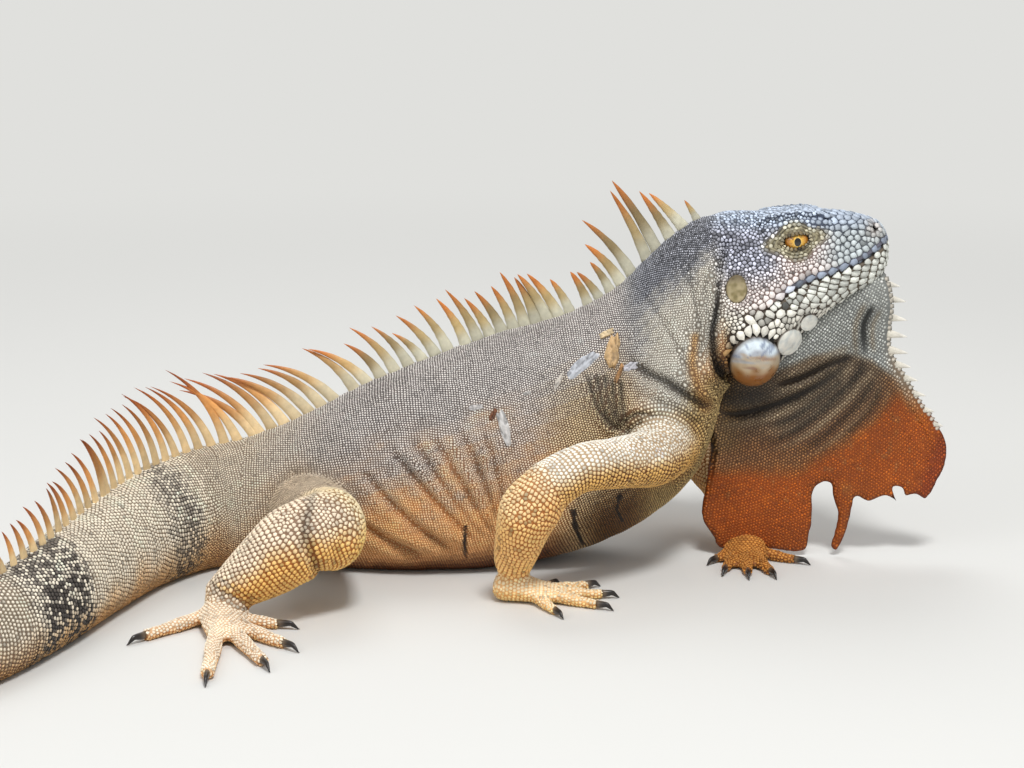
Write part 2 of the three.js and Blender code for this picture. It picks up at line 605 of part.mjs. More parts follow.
// A hooked claw that starts a gap ahead of its digit.
function clawSolid(paw, digit) {
  const { root, way } = digitCourse(paw, digit);
  const r = digit.radius;
  const base = root.clone().addScaledVector(way, digit.length + GAP);
  const side = vec(0, 0, 1).cross(way);
  const levels = [[0, 0.7, 1], [0.5, 0.86, 0.76]];
  const rings = levels.map(([f, lift, share]) => {
    const at = base.clone().addScaledVector(way, paw.claw * (f - 0.12 * f * f)).setZ(r * lift);
    const tilt = vec(0, 0, 1).addScaledVector(way, f * 0.8).normalize();
    return [0, 1, 2, 3, 4].map((k) => {
      const angle = ((k + 0.25) / 5) * 2 * Math.PI;
      return at.clone().addScaledVector(side, Math.cos(angle) * 1.6 * share)
        .addScaledVector(tilt, Math.sin(angle) * 2.3 * share);
    });
  });
  return loft(rings, base.addScaledVector(way, paw.claw * 0.88).setZ(0.3));
}

function palmSolid(paw, grow = 0) {
  const { ahead, inward } = pawAxes(paw);
  const { palm, halfWidth, height } = paw;
  const shares = [-0.3, 0.15, 0.6, 1];
  const widths = [0.78, 0.86, 1, 0.86];
  const heights = [0.62, 0.56, 0.42, 0.3];
  const stations = shares.map((f, i) => {
    const at = vec(...paw.at, 0).addScaledVector(ahead, palm * f).addScaledVector(inward, f * 1.5);
    return [at.x, at.y, height * heights[i] * PALM_LIFT, halfWidth * widths[i], height * heights[i]];
  });
  return limb(stations, 8, 3, grow);
}

// ---------------------------------------------------------------- assembly
const group = new THREE.Group();

const FINISH = {
  back: { color: 0x6f6a5c, roughness: 0.75 },
  flank: { color: 0x8b7456, roughness: 0.75 },
  tail: { color: 0x7d7257, roughness: 0.75 },
  head: { color: 0x777a80, roughness: 0.6 },
  limb: { color: 0xb8772f, roughness: 0.7 },
  fan: { color: 0xa8481a, roughness: 0.7 },
  claw: { color: 0x3a3532, roughness: 0.35 },
  eye: { color: 0xc07a1e, roughness: 0.08 },
  ear: { color: 0x7c7a5c, roughness: 0.45 },
  shield: { color: 0xb9b3a6, roughness: 0.3 },
};

function place(name, solid, finish) {
  const material = new THREE.MeshStandardMaterial({ metalness: 0, ...FINISH[finish] });
  const mesh = new THREE.Mesh(geometryOf(solid.simplify(SLIVER)), material);
  mesh.name = name;
  group.add(mesh);
}

// The trunk, neck and tail in lengths, from the front. front and rear are places along the body.
const STRETCHES = [
  { name: "neck", front: NECK_FRONT, rear: 129, steps: 5, around: 14, finish: "back" },
  { name: "chest", front: 129, rear: 92, steps: 5, around: 14, finish: "flank" },
  { name: "belly", front: 92, rear: 20, steps: 5, around: 14, finish: "flank" },
  { name: "loin", front: 20, rear: -40, steps: 4, around: 14, finish: "flank" },
  { name: "pelvis", front: -40, rear: ROOT, steps: 4, around: 14, finish: "back" },
];
TAIL_CUTS.forEach((end, i) => {
  const start = i === 0 ? 0 : TAIL_CUTS[i - 1];
  const steps = Math.round(3 + (end - start) / 60);
  const name = `tail_${i + 1}`;
  STRETCHES.push({ name, front: ROOT - start, rear: ROOT - end, steps, around: 12, finish: "tail" });
});

const stretchSolid = (s, grow = 0) => bodyBetween(s.front, s.rear + GAP, s.steps, s.around, grow);

// The body a gap larger than it is, which the limbs and the throat fan are cut by.
const nearRoots = STRETCHES.filter((s) => s.front > ROOT - 200);
const core = bodyBetween(NECK_FRONT, ROOT - 200, 20, 14, -1);
const grownBody = joined([core, ...nearRoots.map((s) => stretchSolid(s, GAP))]);

const head = headSolid();
const grownHead = headSolid(GAP);
const crest = crestSpines(STRETCHES.map((s) => s.rear));
for (const s of STRETCHES) {
  const spines = crest.filter((spine) => spine.place < s.front && spine.place > s.rear);
  const solid = joined([stretchSolid(s), ...spines.map((spine) => spine.solid)]).subtract(grownHead);
  place(s.name, biggest(solid), s.finish);
}

// The limbs, each cut clear of the body and of the part above it.
for (const one of LIMBS) {
  const turned = (stations) => stations.map(([x, y, z, across, high]) => [x, y * one.turn, z, across, high]);
  const upper = turned(one.chain.upper);
  const lower = turned(one.chain.lower);
  const { paw } = one;
  place(one.upper, biggest(limb(upper, 9, 4).subtract(grownBody)), "limb");
  const shank = limb(lower, 9, 4).subtract(grownBody).subtract(limb(upper, 9, 4, GAP));
  place(one.lower, biggest(shank), "limb");
  const fingers = paw.digits.map((digit) => digitSolid(paw, digit));
  place(paw.name, biggest(joined([palmSolid(paw), ...fingers]).subtract(limb(lower, 9, 4, GAP))), "limb");
  paw.digits.forEach((digit, i) => place(`claw_${paw.name}_${i + 1}`, clawSolid(paw, digit), "claw"));
}

// The head parts along the mouth, with hollows for the eyes, eardrums and shields.
const cheekPieces = [EAR, ...SHIELDS];
let skull = head;
for (const side of [RIGHT, LEFT]) {
  skull = skull.subtract(ball(mirrored(EYE.at, side), EYE.radius + GAP));
  for (const piece of cheekPieces) skull = skull.subtract(pit(piece, side));
}
place("lower_jaw", biggest(skull.intersect(belowMouth(-GAP))), "head");
place("head", biggest(skull.subtract(belowMouth(0))), "head");
for (const [side, word] of [[RIGHT, "right"], [LEFT, "left"]]) {
  place(`eye_${word}`, ball(mirrored(EYE.at, side), EYE.radius), "eye");
  for (const piece of cheekPieces) {
    place(`${piece.name}_${word}`, plate(piece, side), piece === EAR ? "ear" : "shield");
  }
}
const leftArm = LIMBS.find((one) => one.upper === "upper_arm_left");
const leftFingers = leftArm.paw.digits.map((digit) => digitSolid(leftArm.paw, digit, GAP));
const leftWrist = limb(LEFT_ARM.lower, 9, 4, GAP);
const throughFan = [grownHead, grownBody, palmSolid(leftArm.paw, GAP), ...leftFingers, leftWrist];
const fan = throughFan.reduce((left, tool) => left.subtract(tool), throatFan());
place("throat_fan", biggest(fan), "fan");

export default group;
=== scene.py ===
"""A life-size adult male green iguana as a still model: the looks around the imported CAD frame.

Lengths are in millimetres until a mesh is made. +X is towards the snout, +Y the animal's left, +Z up.
"""

import bpy
import numpy as np
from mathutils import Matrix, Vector
from mathutils.bvhtree import BVHTree
from mathutils.geometry import delaunay_2d_cdt
from mathutils.kdtree import KDTree


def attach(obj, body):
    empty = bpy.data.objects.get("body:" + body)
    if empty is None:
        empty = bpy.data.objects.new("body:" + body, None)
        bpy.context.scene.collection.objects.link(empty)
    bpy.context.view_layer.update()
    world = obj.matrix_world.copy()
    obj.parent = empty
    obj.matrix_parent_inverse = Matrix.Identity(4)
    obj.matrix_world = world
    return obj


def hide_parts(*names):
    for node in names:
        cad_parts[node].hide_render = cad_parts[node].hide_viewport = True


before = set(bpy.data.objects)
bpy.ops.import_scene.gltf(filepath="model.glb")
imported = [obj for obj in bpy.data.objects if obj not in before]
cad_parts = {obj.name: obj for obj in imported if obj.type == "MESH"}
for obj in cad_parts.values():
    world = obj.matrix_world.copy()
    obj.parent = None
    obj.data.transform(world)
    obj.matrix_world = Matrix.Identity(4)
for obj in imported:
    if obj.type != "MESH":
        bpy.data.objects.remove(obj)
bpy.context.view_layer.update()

MM = 0.001
RIGHT, LEFT = -1, 1
SIDES = ((RIGHT, "right"), (LEFT, "left"))
SEED = 7
random = np.random.default_rng(SEED)

# ------------------------------------------------------------------ camera
AIM = np.array([50.0, 0.0, 96.5])
DISTANCE = 1200.0
ELEVATION = np.radians(12)
SENSOR_WIDTH, LENS = 36, 78.05
NEAR_CLIP = 0.05


def make_camera():
    data = bpy.data.cameras.new("camera")
    data.sensor_width = SENSOR_WIDTH
    data.lens = LENS
    data.clip_start = NEAR_CLIP
    camera = bpy.data.objects.new("camera", data)
    bpy.context.scene.collection.objects.link(camera)
    back = np.array([0, -np.cos(ELEVATION), np.sin(ELEVATION)])
    camera.location = (AIM + back * DISTANCE) * MM
    camera.rotation_euler = (np.pi / 2 - ELEVATION, 0, 0)
    bpy.context.scene.camera = camera


make_camera()

# ------------------------------------------------------------------ the same driving sizes as the solids
# top x, top z, bottom x, bottom z, half width, belt, roof, keel
BODY = np.array([
    [-95, 67, -95, -5, 30, 0.45, 1.7, 2.1],
    [-63, 80, -60, -5, 37, 0.42, 1.7, 2.3],
    [-32, 96, -28, -5, 44, 0.4, 1.75, 2.5],
    [5, 112, 5, -5, 48, 0.4, 1.8, 2.6],
    [42, 125, 45, -3.5, 48, 0.42, 1.8, 2.4],
    [76, 135, 88, 6, 44, 0.42, 1.8, 2.2],
    [104, 149, 122, 21, 40, 0.42, 1.75, 2.1],
    [124, 168, 148, 44, 33, 0.45, 1.8, 2],
    [140, 182, 160, 72, 30, 0.5, 1.9, 2],
    [152, 188, 166, 96, 28, 0.5, 2, 2],
    [162, 188, 174, 112, 22, 0.5, 2, 2],
])
PLACES = (BODY[:, 0] + BODY[:, 2]) / 2
ROOT = PLACES[0]
NECK_FRONT = 170
# where the rows of scales pass from the trunk to the tail, behind the root
TRUNK_OVERLAP = 20
TAIL_COURSE = np.array([
    [-95, 0], [-123, -14], [-148, -50], [-165, -102], [-179, -156], [-199, -207], [-236, -248],
    [-294, -270], [-368, -270], [-460, -246], [-560, -212], [-660, -188], [-755, -180], [-820, -186],
], float)
# distance from the root, height, half width
TAIL = np.array([
    [0, 67, 30], [60, 60, 27.5], [130, 53, 24.5], [220, 45, 20], [330, 34, 15.5],
    [450, 25, 11.5], [580, 17, 8], [700, 10, 5], [800, 5.2, 2.8], [860, 2.6, 1.3],
])
TAIL_SHAPE = 0.45, 1.8, 2.1  # belt, roof, keel
TAIL_END = 850
TAIL_SAG = 0.08
# x, top, bottom, half width, belt, roof, keel
HEAD = np.array([
    [148, 182, 134, 17, 0.5, 2.2, 2],
    [156, 188, 119, 24, 0.45, 2.3, 2],
    [163, 190.5, 108, 27.5, 0.4, 2.3, 2],
    [171, 191, 100.5, 30, 0.34, 2.2, 2],
    [181, 191, 99, 31, 0.32, 2.1, 2],
    [191, 191.5, 106, 29, 0.34, 2.2, 2],
    [203, 192.5, 122, 25, 0.42, 2.5, 2.1],
    [216, 192, 134, 21.5, 0.46, 2.5, 2.2],
    [230, 190.5, 144, 18, 0.5, 2.4, 2.3],
    [240, 187.5, 149.5, 14.5, 0.52, 2.3, 2.3],
    [246.5, 184, 154, 10.5, 0.55, 2.2, 2.2],
    [249.5, 179.5, 160, 6, 0.55, 2, 2],
])
EYE = np.array([199.0, 15.4, 177.0])
EYE_RADIUS = 8.0
FAN_EDGE = np.array([
    [150, 84], [157, 65], [155.5, 42], [153.5, 30], [154, 20], [159.5, 12], [163, 4.6], [176, 4],
    [192, 3.2], [211, 3], [213.5, 12], [215, 24], [214.6, 35], [218, 40.5], [223.4, 41], [224.6, 35],
    [227.6, 24], [226, 12], [224.6, 5], [228, 3], [232.8, 11], [236.8, 28], [238, 33], [245, 30.5],
    [254, 33.4], [260.6, 30.5], [258.4, 38.6], [262, 38], [265, 33.6], [270, 34.4], [276, 31.7],
    [282.4, 42], [286.6, 52], [287, 61.5], [282.3, 73], [273.5, 85], [265, 98.7], [257.6, 110],
    [254.6, 119], [254.2, 143], [252, 152], [248, 159], [225, 150], [200, 136], [175, 118], [158, 100],
])
FAN_ROOT = np.array([[153, 60], [160, 82], [176, 100], [196, 112], [215, 131], [232, 142], [247, 150]], float)
# half thickness of the fan at its edge and what its root adds, and how fast that fades away from the root
FAN_EDGE_HALF, FAN_ROOT_HALF, FAN_FADE = 1.15, 9.5, 17.0
# x, z, length
THROAT_SPIKES = [
    (252.5, 151, 6), (254, 143, 8), (254, 133, 9), (253.8, 124, 9.5), (255, 115, 9),
    (259, 107, 7), (264, 99.5, 6), (269.5, 91, 5), (275.5, 82, 4), (281, 74, 3.5),
]
# Chains of joints: x, y, z, radius across, radius in height
ARM_RIGHT = (
    [[134, -16, 70, 18, 21], [124, -44, 67, 14.5, 16], [104, -66, 69, 13.3, 13.3],
     [84, -82, 70, 12.3, 12.3], [68, -90, 63, 13, 13.5]],
    [[68, -89, 63, 13, 13.5], [59, -93, 51, 15.2, 15.5], [54, -89, 36, 13, 13], [51, -79, 20, 10.2, 9.6]],
)
ARM_LEFT = (
    [[134, 16, 70, 18, 21], [130, 44, 66, 15, 16], [134, 64, 63, 13.3, 13.3], [144, 79, 58, 12.5, 13]],
    [[144, 78, 58, 13, 13.5], [154, 64, 48, 14, 14], [168, 36, 31, 12, 11.5], [178, 12, 18, 10, 8.8]],
)
LEG_RIGHT = (
    [[-60, -12, 31, 23, 24], [-55, -45, 34, 22, 22], [-47, -78, 39, 21, 22], [-40, -103, 44, 17.5, 20.5]],
    [[-42, -105, 46, 17, 18.5], [-58, -112, 39, 19, 20], [-76, -114, 26, 15.8, 16],
     [-94, -111, 13, 11.3, 10.3]],
)
LEG_LEFT = tuple([[x, -y, z, a, h] for x, y, z, a, h in part] for part in LEG_RIGHT)
# A digit: root ahead and inward of the wrist, turn inward from the heading, length, radius
HAND = {
    "palm": 20, "half": 12.5, "height": 12.5, "claw": 9.5,
    "digits": [(9, 8, 62, 15, 3.4), (16, 7, 38, 24, 3.6), (19, 2, 10, 26, 3.7),
               (18, -3.5, -18, 27, 3.7), (12, -8, -56, 20, 3.5)],
}
FOOT = {
    "palm": 32, "half": 12, "height": 14.5, "claw": 11.5,
    "digits": [(13, 8.5, 74, 20, 3.9), (25, 8, 42, 33, 4.1), (30, 3.5, 20, 47, 4.3),
               (28, -2.5, -3, 63, 4.4), (5, -7.5, -50, 40, 4)],
}
# how far the digits of the left hand turn inward, which lie closer together
LEFT_TURNS = [38, 14, -2, -17, -66]
LEFT_DIGITS = [(*digit[:2], turn, *digit[3:]) for digit, turn in zip(HAND["digits"], LEFT_TURNS)]
LEFT_HAND = dict(HAND, digits=LEFT_DIGITS)
PAWS = {
    "hand_right": dict(HAND, at=(52, -79), heading=-7, side=RIGHT),
    "hand_left": dict(LEFT_HAND, at=(179, 6), heading=-93, side=LEFT),
    "foot_right": dict(FOOT, at=(-94, -112), heading=-84, side=RIGHT),
    "foot_left": dict(FOOT, at=(-94, 112), heading=38, side=LEFT),
}
PALM_LIFT = 0.88
# share of the length, then width and height of the stations of a palm, and lift and size of those of a digit
PALM_STATIONS = ((-0.3, 0.78, 0.62), (0.15, 0.86, 0.56), (0.6, 1, 0.42), (1, 0.86, 0.3))
DIGIT_STATIONS = ((-0.12, 1.3, 1.15), (0.2, 1, 0.98), (0.45, 0.84, 1), (0.7, 0.72, 0.86), (1, 0.68, 0.82))
# place, length, lean, curl, spacing
CREST = np.array([
    [156, 13, 6, 8, 5.5], [150, 26, 4, 10, 5.5], [145, 30, -10, 10, 6.2], [139, 45, -20, 12, 6.8],
    [132, 43, -24, 14, 6.8], [123, 37, -18, 26, 6.6], [112, 22, -4, 22, 6.6], [98, 22, 0, 18, 6.6],
    [82, 31, 4, 20, 6.8], [40, 31, 6, 22, 7], [0, 30, 8, 32, 7], [-40, 40, 10, 42, 7],
    [-90, 51, 10, 48, 7.2], [-170, 47, 10, 46, 7.6], [-260, 30, 10, 42, 9], [-360, 14, 14, 34, 11],
    [-440, 6, 20, 30, 13],
])
CREST_START, CREST_END = 156.0, -440
# the widest root of a spine, and how much of it a spine keeps clear of a cut
SPINE_ROOT, CUT_CLEARANCE = 7.0, 0.66
# where the solids of the trunk and of the tail meet
CUTS = [129, 92, 20, -40, ROOT] + [ROOT - d for d in (110, 230, 360, 510, 680, 850)]
# how far inside the solids the skin lies, which the scales fill
DEPTH = 0.55


# ------------------------------------------------------------------ curves and sections
def smooth(keys, values, at):
    """The value at each place of a smooth line through rising keys."""
    keys = np.asarray(keys, float)
    values = np.asarray(values, float)
    last = len(keys) - 1
    at = np.clip(at, keys[0], keys[-1])
    before = np.maximum(np.arange(last + 1) - 1, 0)
    after = np.minimum(np.arange(last + 1) + 1, last)
    slope = (values[after] - values[before]) / (keys[after] - keys[before])
    i = np.clip(np.searchsorted(keys, at) - 1, 0, last - 1)
    step = keys[i + 1] - keys[i]
    t = (at - keys[i]) / step
    u = 1 - t
    return (values[i] * (1 + 2 * t) * u * u + slope[i] * step * t * u * u
            + values[i + 1] * (3 - 2 * t) * t * t - slope[i + 1] * step * u * t * t)


def course(points, t):
    """Places at shares t along a centripetal Catmull-Rom curve through the points."""
    points = np.asarray(points, float)
    padded = np.vstack([2 * points[0] - points[1], points, 2 * points[-1] - points[-2]])
    count = len(points)
    whole = np.clip(np.asarray(t, float), 0, 1) * (count - 1)
    i = np.minimum(whole.astype(int), count - 2)
    f = (whole - i)[:, None]
    p0, p1, p2, p3 = (padded[i + k] for k in range(4))
    d0, d1, d2 = (np.sqrt(np.linalg.norm(b - a, axis=1))[:, None] for a, b in ((p0, p1), (p1, p2), (p2, p3)))
    m1 = ((p1 - p0) / d0 - (p2 - p0) / (d0 + d1) + (p2 - p1) / d1) * d1
    m2 = ((p2 - p1) / d1 - (p3 - p1) / (d1 + d2) + (p3 - p2) / d2) * d1
    return (p1 + m1 * f + (-3 * p1 + 3 * p2 - 2 * m1 - m2) * f ** 2
            + (2 * p1 - 2 * p2 + m1 + m2) * f ** 3)


def run_along(line):
    """The length of a chain of points up to each of them."""
    return np.concatenate([[0], np.cumsum(np.linalg.norm(np.diff(line, axis=0), axis=1))])


def points_at(line, run, at):
    """Points at distances along a chain whose run is known."""
    return np.stack([np.interp(at, run, line[:, k]) for k in range(line.shape[1])], -1)


def unit(v):
    return v / np.maximum(np.linalg.norm(v, axis=-1, keepdims=True), 1e-9)


def bell(value):
    """One at zero, falling away smoothly on both sides."""
    return np.exp(-value ** 2)


def ramp(value, low, high):
    t = np.clip((value - low) / (high - low), 0, 1)
    return t * t * (3 - 2 * t)


def turns(count):
    """Angles evenly spaced round a circle."""
    return np.arange(count) * 2 * np.pi / count


def noise(points, size, seed=0):
    """Smooth noise from -1 to 1 whose lumps are about this size."""
    q = points / size + seed * 19.7
    base = np.floor(q).astype(np.int64)
    f = q - base
    f = f * f * (3 - 2 * f)
    total = np.zeros(len(points))
    for corner in np.ndindex(2, 2, 2):
        c = base + corner
        h = (c[:, 0] * 73856093) ^ (c[:, 1] * 19349663) ^ (c[:, 2] * 83492791)
        h = ((h ^ (h >> 13)) * 1274126177) & 0x7FFFFFFF
        value = ((h ^ (h >> 16)) & 0xFFFF) / 32767.5 - 1
        total += value * np.prod(np.where(corner, f, 1 - f), axis=1)
    return total


def bowed(value, squareness):
    """A sine or cosine pushed outwards, so that a section is squarer than an ellipse."""
    return np.sign(value) * np.abs(value) ** (2 / squareness)


def section(bottom, top, side, half, belt, roof, keel, angle):
    """Points of upright sections, one row for each section and one column for each angle."""
    angle = np.atleast_2d(angle)
    upper = np.sin(angle) >= 0
    col = [np.asarray(v, float).reshape(-1, 1) for v in (half, belt, roof, keel)]
    squareness = np.where(upper, col[2], col[3])
    across = bowed(np.cos(angle), squareness) * col[0]
    rise = bowed(np.sin(angle), squareness)
    share = col[1] + rise * np.where(upper, 1 - col[1], col[1])
    return bottom[:, None] + (top - bottom)[:, None] * share[..., None] + side[:, None] * across[..., None]


TAIL_TABLE = course(TAIL_COURSE, np.linspace(0, 1, 4000))
TAIL_RUN = run_along(TAIL_TABLE)


def tail_plan(distance):
    """Where the tail is, seen from above, at distances from its root, and the way towards the root."""
    step = 0.5
    distance = np.clip(distance, 0, TAIL_RUN[-1] - step)
    place = points_at(TAIL_TABLE, TAIL_RUN, distance)
    return place, unit(place - points_at(TAIL_TABLE, TAIL_RUN, distance + step))


def body_rings(place, angle):
    """Rings of the neck, trunk and tail at places, as points (place, angle, xyz)."""
    place = np.asarray(place, float)
    shape = np.stack([smooth(PLACES, BODY[:, k], np.maximum(place, ROOT)) for k in range(8)], -1)
    distance = np.maximum(ROOT - place, 0)
    plan, ahead = tail_plan(distance)
    high = smooth(TAIL[:, 0], TAIL[:, 1], distance)
    tail = place < ROOT
    zero = np.zeros_like(place)
    top = np.stack([shape[:, 0], zero, shape[:, 1]], -1)
    bottom = np.stack([shape[:, 2], zero, shape[:, 3]], -1)
    top[tail] = np.column_stack([plan, high])[tail]
    bottom[tail] = np.column_stack([plan, -TAIL_SAG * high])[tail]
    side = np.where(tail[:, None], np.column_stack([-ahead[:, 1], ahead[:, 0], zero]), [[0, 1, 0]])
    half = np.where(tail, smooth(TAIL[:, 0], TAIL[:, 2], distance), shape[:, 4])
    form = [np.where(tail, own, shape[:, 5 + k]) for k, own in enumerate(TAIL_SHAPE)]
    return section(bottom, top, side, half, *form, angle)


def head_rings(x, angle):
    """Rings of the head at places along it."""
    high, low, *form = (smooth(HEAD[:, 0], HEAD[:, k], x) for k in range(1, 7))
    zero = np.zeros_like(x)
    side = np.tile([0.0, 1.0, 0.0], (len(x), 1))
    return section(np.stack([x, zero, low], -1), np.stack([x, zero, high], -1), side, *form, angle)


def limb_rings(stations, t, angle, out=0.0):
    """Rings square to a chain of stations x, y, z, radius across, radius in height.

    Out is how far each ring lies beyond an end of the chain, as a share of the rounding of that end.
    """
    stations = np.asarray(stations, float)
    ahead = unit(course(stations[:, :3], t + 1e-4) - course(stations[:, :3], t - 1e-4))
    side = np.cross([0, 0, 1], ahead)
    flat = np.linalg.norm(side, axis=1) < 0.2
    side[flat] = [0, 1, 0]
    side = unit(side)
    up = np.cross(ahead, side)
    keys = np.linspace(0, 1, len(stations))
    wide = smooth(keys, stations[:, 3], t)
    high = smooth(keys, stations[:, 4], t)
    shrink = np.sqrt(np.maximum(1 - out ** 2, 0.01))
    middle = course(stations[:, :3], t) + ahead * (out * high * 0.85)[:, None]
    angle = np.atleast_2d(angle)
    return (middle[:, None] + side[:, None] * (np.cos(angle) * (wide * shrink)[:, None])[..., None]
            + up[:, None] * (np.sin(angle) * (high * shrink)[:, None])[..., None])


def paw_axes(paw):
    """The way a paw points and the way towards the body's middle."""
    turn = np.radians(paw["heading"])
    ahead = np.array([np.cos(turn), np.sin(turn), 0])
    return ahead, np.cross([0, 0, 1], ahead) * -paw["side"]


def digit_course(paw, digit):
    """The root of a digit and the way it points."""
    ahead, inward = paw_axes(paw)
    turn = np.radians(digit[2])
    way = ahead * np.cos(turn) + inward * np.sin(turn)
    return np.array([*paw["at"], 0]) + ahead * digit[0] + inward * digit[1], way


def digit_stations(paw, digit):
    root, way = digit_course(paw, digit)
    length, r = digit[3:]
    rings = []
    for f, lift, size in DIGIT_STATIONS:
        rings.append([*(root + way * length * f)[:2], r * lift, r * size, r * size])
    return rings


def palm_stations(paw):
    ahead, inward = paw_axes(paw)
    made = []
    for f, wide, high in PALM_STATIONS:
        at = np.array([*paw["at"], 0]) + ahead * paw["palm"] * f + inward * f * 1.5
        tall = paw["height"] * high
        made.append([at[0], at[1], tall * PALM_LIFT, paw["half"] * wide, tall])
    return made


# ------------------------------------------------------------------ places seen from the side
def upright(flat):
    """[x, z] places as points on the middle plane."""
    return np.column_stack([flat[:, 0], np.zeros(len(flat)), flat[:, 1]])


def flat_distance(points, at, size=(1, 1)):
    """How far points are from [x, z] seen from the side, in units of a size in x and in z."""
    return np.linalg.norm((points[:, [0, 2]] - at) / size, axis=1)


def chain_distance(flat, line):
    """How far [x, z] places are from a chain of points, and the share along it where they come nearest."""
    least, share = np.full(len(flat), np.inf), np.zeros(len(flat))
    for i, (a, b) in enumerate(zip(line[:-1], line[1:])):
        step = b - a
        t = np.clip((flat - a) @ step / max(step @ step, 1e-9), 0, 1)
        far = np.linalg.norm(flat - a - t[:, None] * step, axis=1)
        nearer = far < least
        least[nearer] = far[nearer]
        share[nearer] = (i + t[nearer]) / (len(line) - 1)
    return least, share


def line_distance(points, line):
    """How far points are, seen from the side, from a smooth line of [x, z] corners; the share along it."""
    fine = course(line, np.linspace(0, 1, 24)) if len(line) > 2 else np.asarray(line, float)
    return chain_distance(points[:, [0, 2]], fine)


def circle(at, radius, first=0.0, last=2 * np.pi, squash=1.0, tilt=0.0):
    """A line of [x, z] points round part of a circle or ellipse."""
    angle = np.linspace(first, last, 60)
    return turned(at, radius * np.cos(angle), radius * squash * np.sin(angle), tilt)


def turned(at, x, z, tilt):
    """[x, z] places round a middle, turned by an angle."""
    return np.column_stack([at[0] + x * np.cos(tilt) - z * np.sin(tilt),
                            at[1] + x * np.sin(tilt) + z * np.cos(tilt)])


# ------------------------------------------------------------------ meshes
def to_linear(color):
    """Display colours from 0 to 255 as linear light."""
    c = np.asarray(color, float) / 255
    return np.where(c <= 0.04045, c / 12.92, ((c + 0.055) / 1.055) ** 2.4)


def make_object(name, points, faces, colors=None, uv=None):
    """A smooth mesh object from points in millimetres and lists of faces with 3, 4 or more corners."""
    mesh = bpy.data.meshes.new(name)
    faces = [np.asarray(f) for f in faces if len(f)]
    corners = np.concatenate([f.ravel() for f in faces]).astype(np.int32)
    sizes = np.concatenate([np.full(len(f), f.shape[1]) for f in faces])
    starts = np.concatenate([[0], np.cumsum(sizes)[:-1]]).astype(np.int32)
    mesh.vertices.add(len(points))
    mesh.vertices.foreach_set("co", (points * MM).astype(np.float32).ravel())
    mesh.loops.add(len(corners))
    mesh.loops.foreach_set("vertex_index", corners)
    mesh.polygons.add(len(sizes))
    mesh.polygons.foreach_set("loop_start", starts)
    mesh.update(calc_edges=True)
    mesh.shade_smooth()
    if colors is not None:
        full = np.ones((len(colors), 4), np.float32)
        full[:, :3] = colors
        mesh.color_attributes.new("tint", "FLOAT_COLOR", "POINT").data.foreach_set("color", full.ravel())
    if uv is not None:
        layer = mesh.uv_layers.new(name="OFBake")
        layer.data.foreach_set("uv", uv[corners].astype(np.float32).ravel())
    made = bpy.data.objects.new(name, mesh)
    bpy.context.scene.collection.objects.link(made)
    return made


def grid_faces(rows, around, closed=True):
    """Quads of a grid of points whose rows run ahead and whose columns turn from the side up."""
    columns = np.arange(around if closed else around - 1)
    i, j = np.meshgrid(np.arange(rows - 1), columns, indexing="ij")
    k = (j + 1) % around
    a = i * around
    return np.stack([a + j, a + k, a + around + k, a + around + j], -1).reshape(-1, 4)


def loft(rings):
    """Points and faces of a closed tube through rings, with a fan over each end."""
    rows, around = rings.shape[:2]
    points = np.concatenate([rings.reshape(-1, 3), rings[0].mean(0)[None], rings[-1].mean(0)[None]])
    j = np.arange(around)
    k = (j + 1) % around
    first = np.stack([np.full(around, rows * around), k, j], -1)
    end = (rows - 1) * around
    last = np.stack([np.full(around, rows * around + 1), end + j, end + k], -1)
    return points, [grid_faces(rows, around), np.concatenate([first, last])]


def loft_colors(tones, around):
    """The colours of a loft's points from one tone a ring; the end points take those of the end rings."""
    return np.concatenate([np.repeat(tones, around, axis=0), tones[:1], tones[-1:]])


def joined(pieces):
    """One set of points and faces from several."""
    points, faces, start = [], [], 0
    for at, lists in pieces:
        points.append(at)
        faces += [np.asarray(f) + start for f in lists]
        start += len(at)
    sizes = sorted({f.shape[1] for f in faces})
    return np.concatenate(points), [np.concatenate([f for f in faces if f.shape[1] == n]) for n in sizes]


def make_joined(name, parts):
    """One object from parts, each of them points, faces and colours."""
    points, faces = joined([part[:2] for part in parts])
    return make_object(name, points, faces, to_linear(np.concatenate([part[2] for part in parts])))


def points_of(mesh):
    at = np.zeros(len(mesh.vertices) * 3, np.float32)
    mesh.vertices.foreach_get("co", at)
    return at.reshape(-1, 3).astype(float) / MM


def quads_of(mesh):
    """The faces of a mesh as rows of four corners, a triangle with its last corner twice."""
    starts = np.zeros(len(mesh.polygons), np.int32)
    totals = np.zeros(len(mesh.polygons), np.int32)
    corners = np.zeros(len(mesh.loops), np.int32)
    mesh.polygons.foreach_get("loop_start", starts)
    mesh.polygons.foreach_get("loop_total", totals)
    mesh.loops.foreach_get("vertex_index", corners)
    return corners[starts[:, None] + np.minimum(np.arange(4), totals[:, None] - 1)]


# ------------------------------------------------------------------ the forms that the skin and scales follow
class Form:
    """A part of the body as rings at places t, which rise the way its scales point."""

    def __init__(self, name, group, rings, start, end, pitch, width, stations=None):
        self.name, self.group, self.rings, self.stations = name, group, rings, stations
        self.start, self.end, self.pitch, self.width = start, end, pitch, width


def limb_form(name, group, stations, pitch, width, end=1.0):
    return Form(name, group, lambda t, a: limb_rings(stations, t, a), 0.0, end, pitch, width, stations)


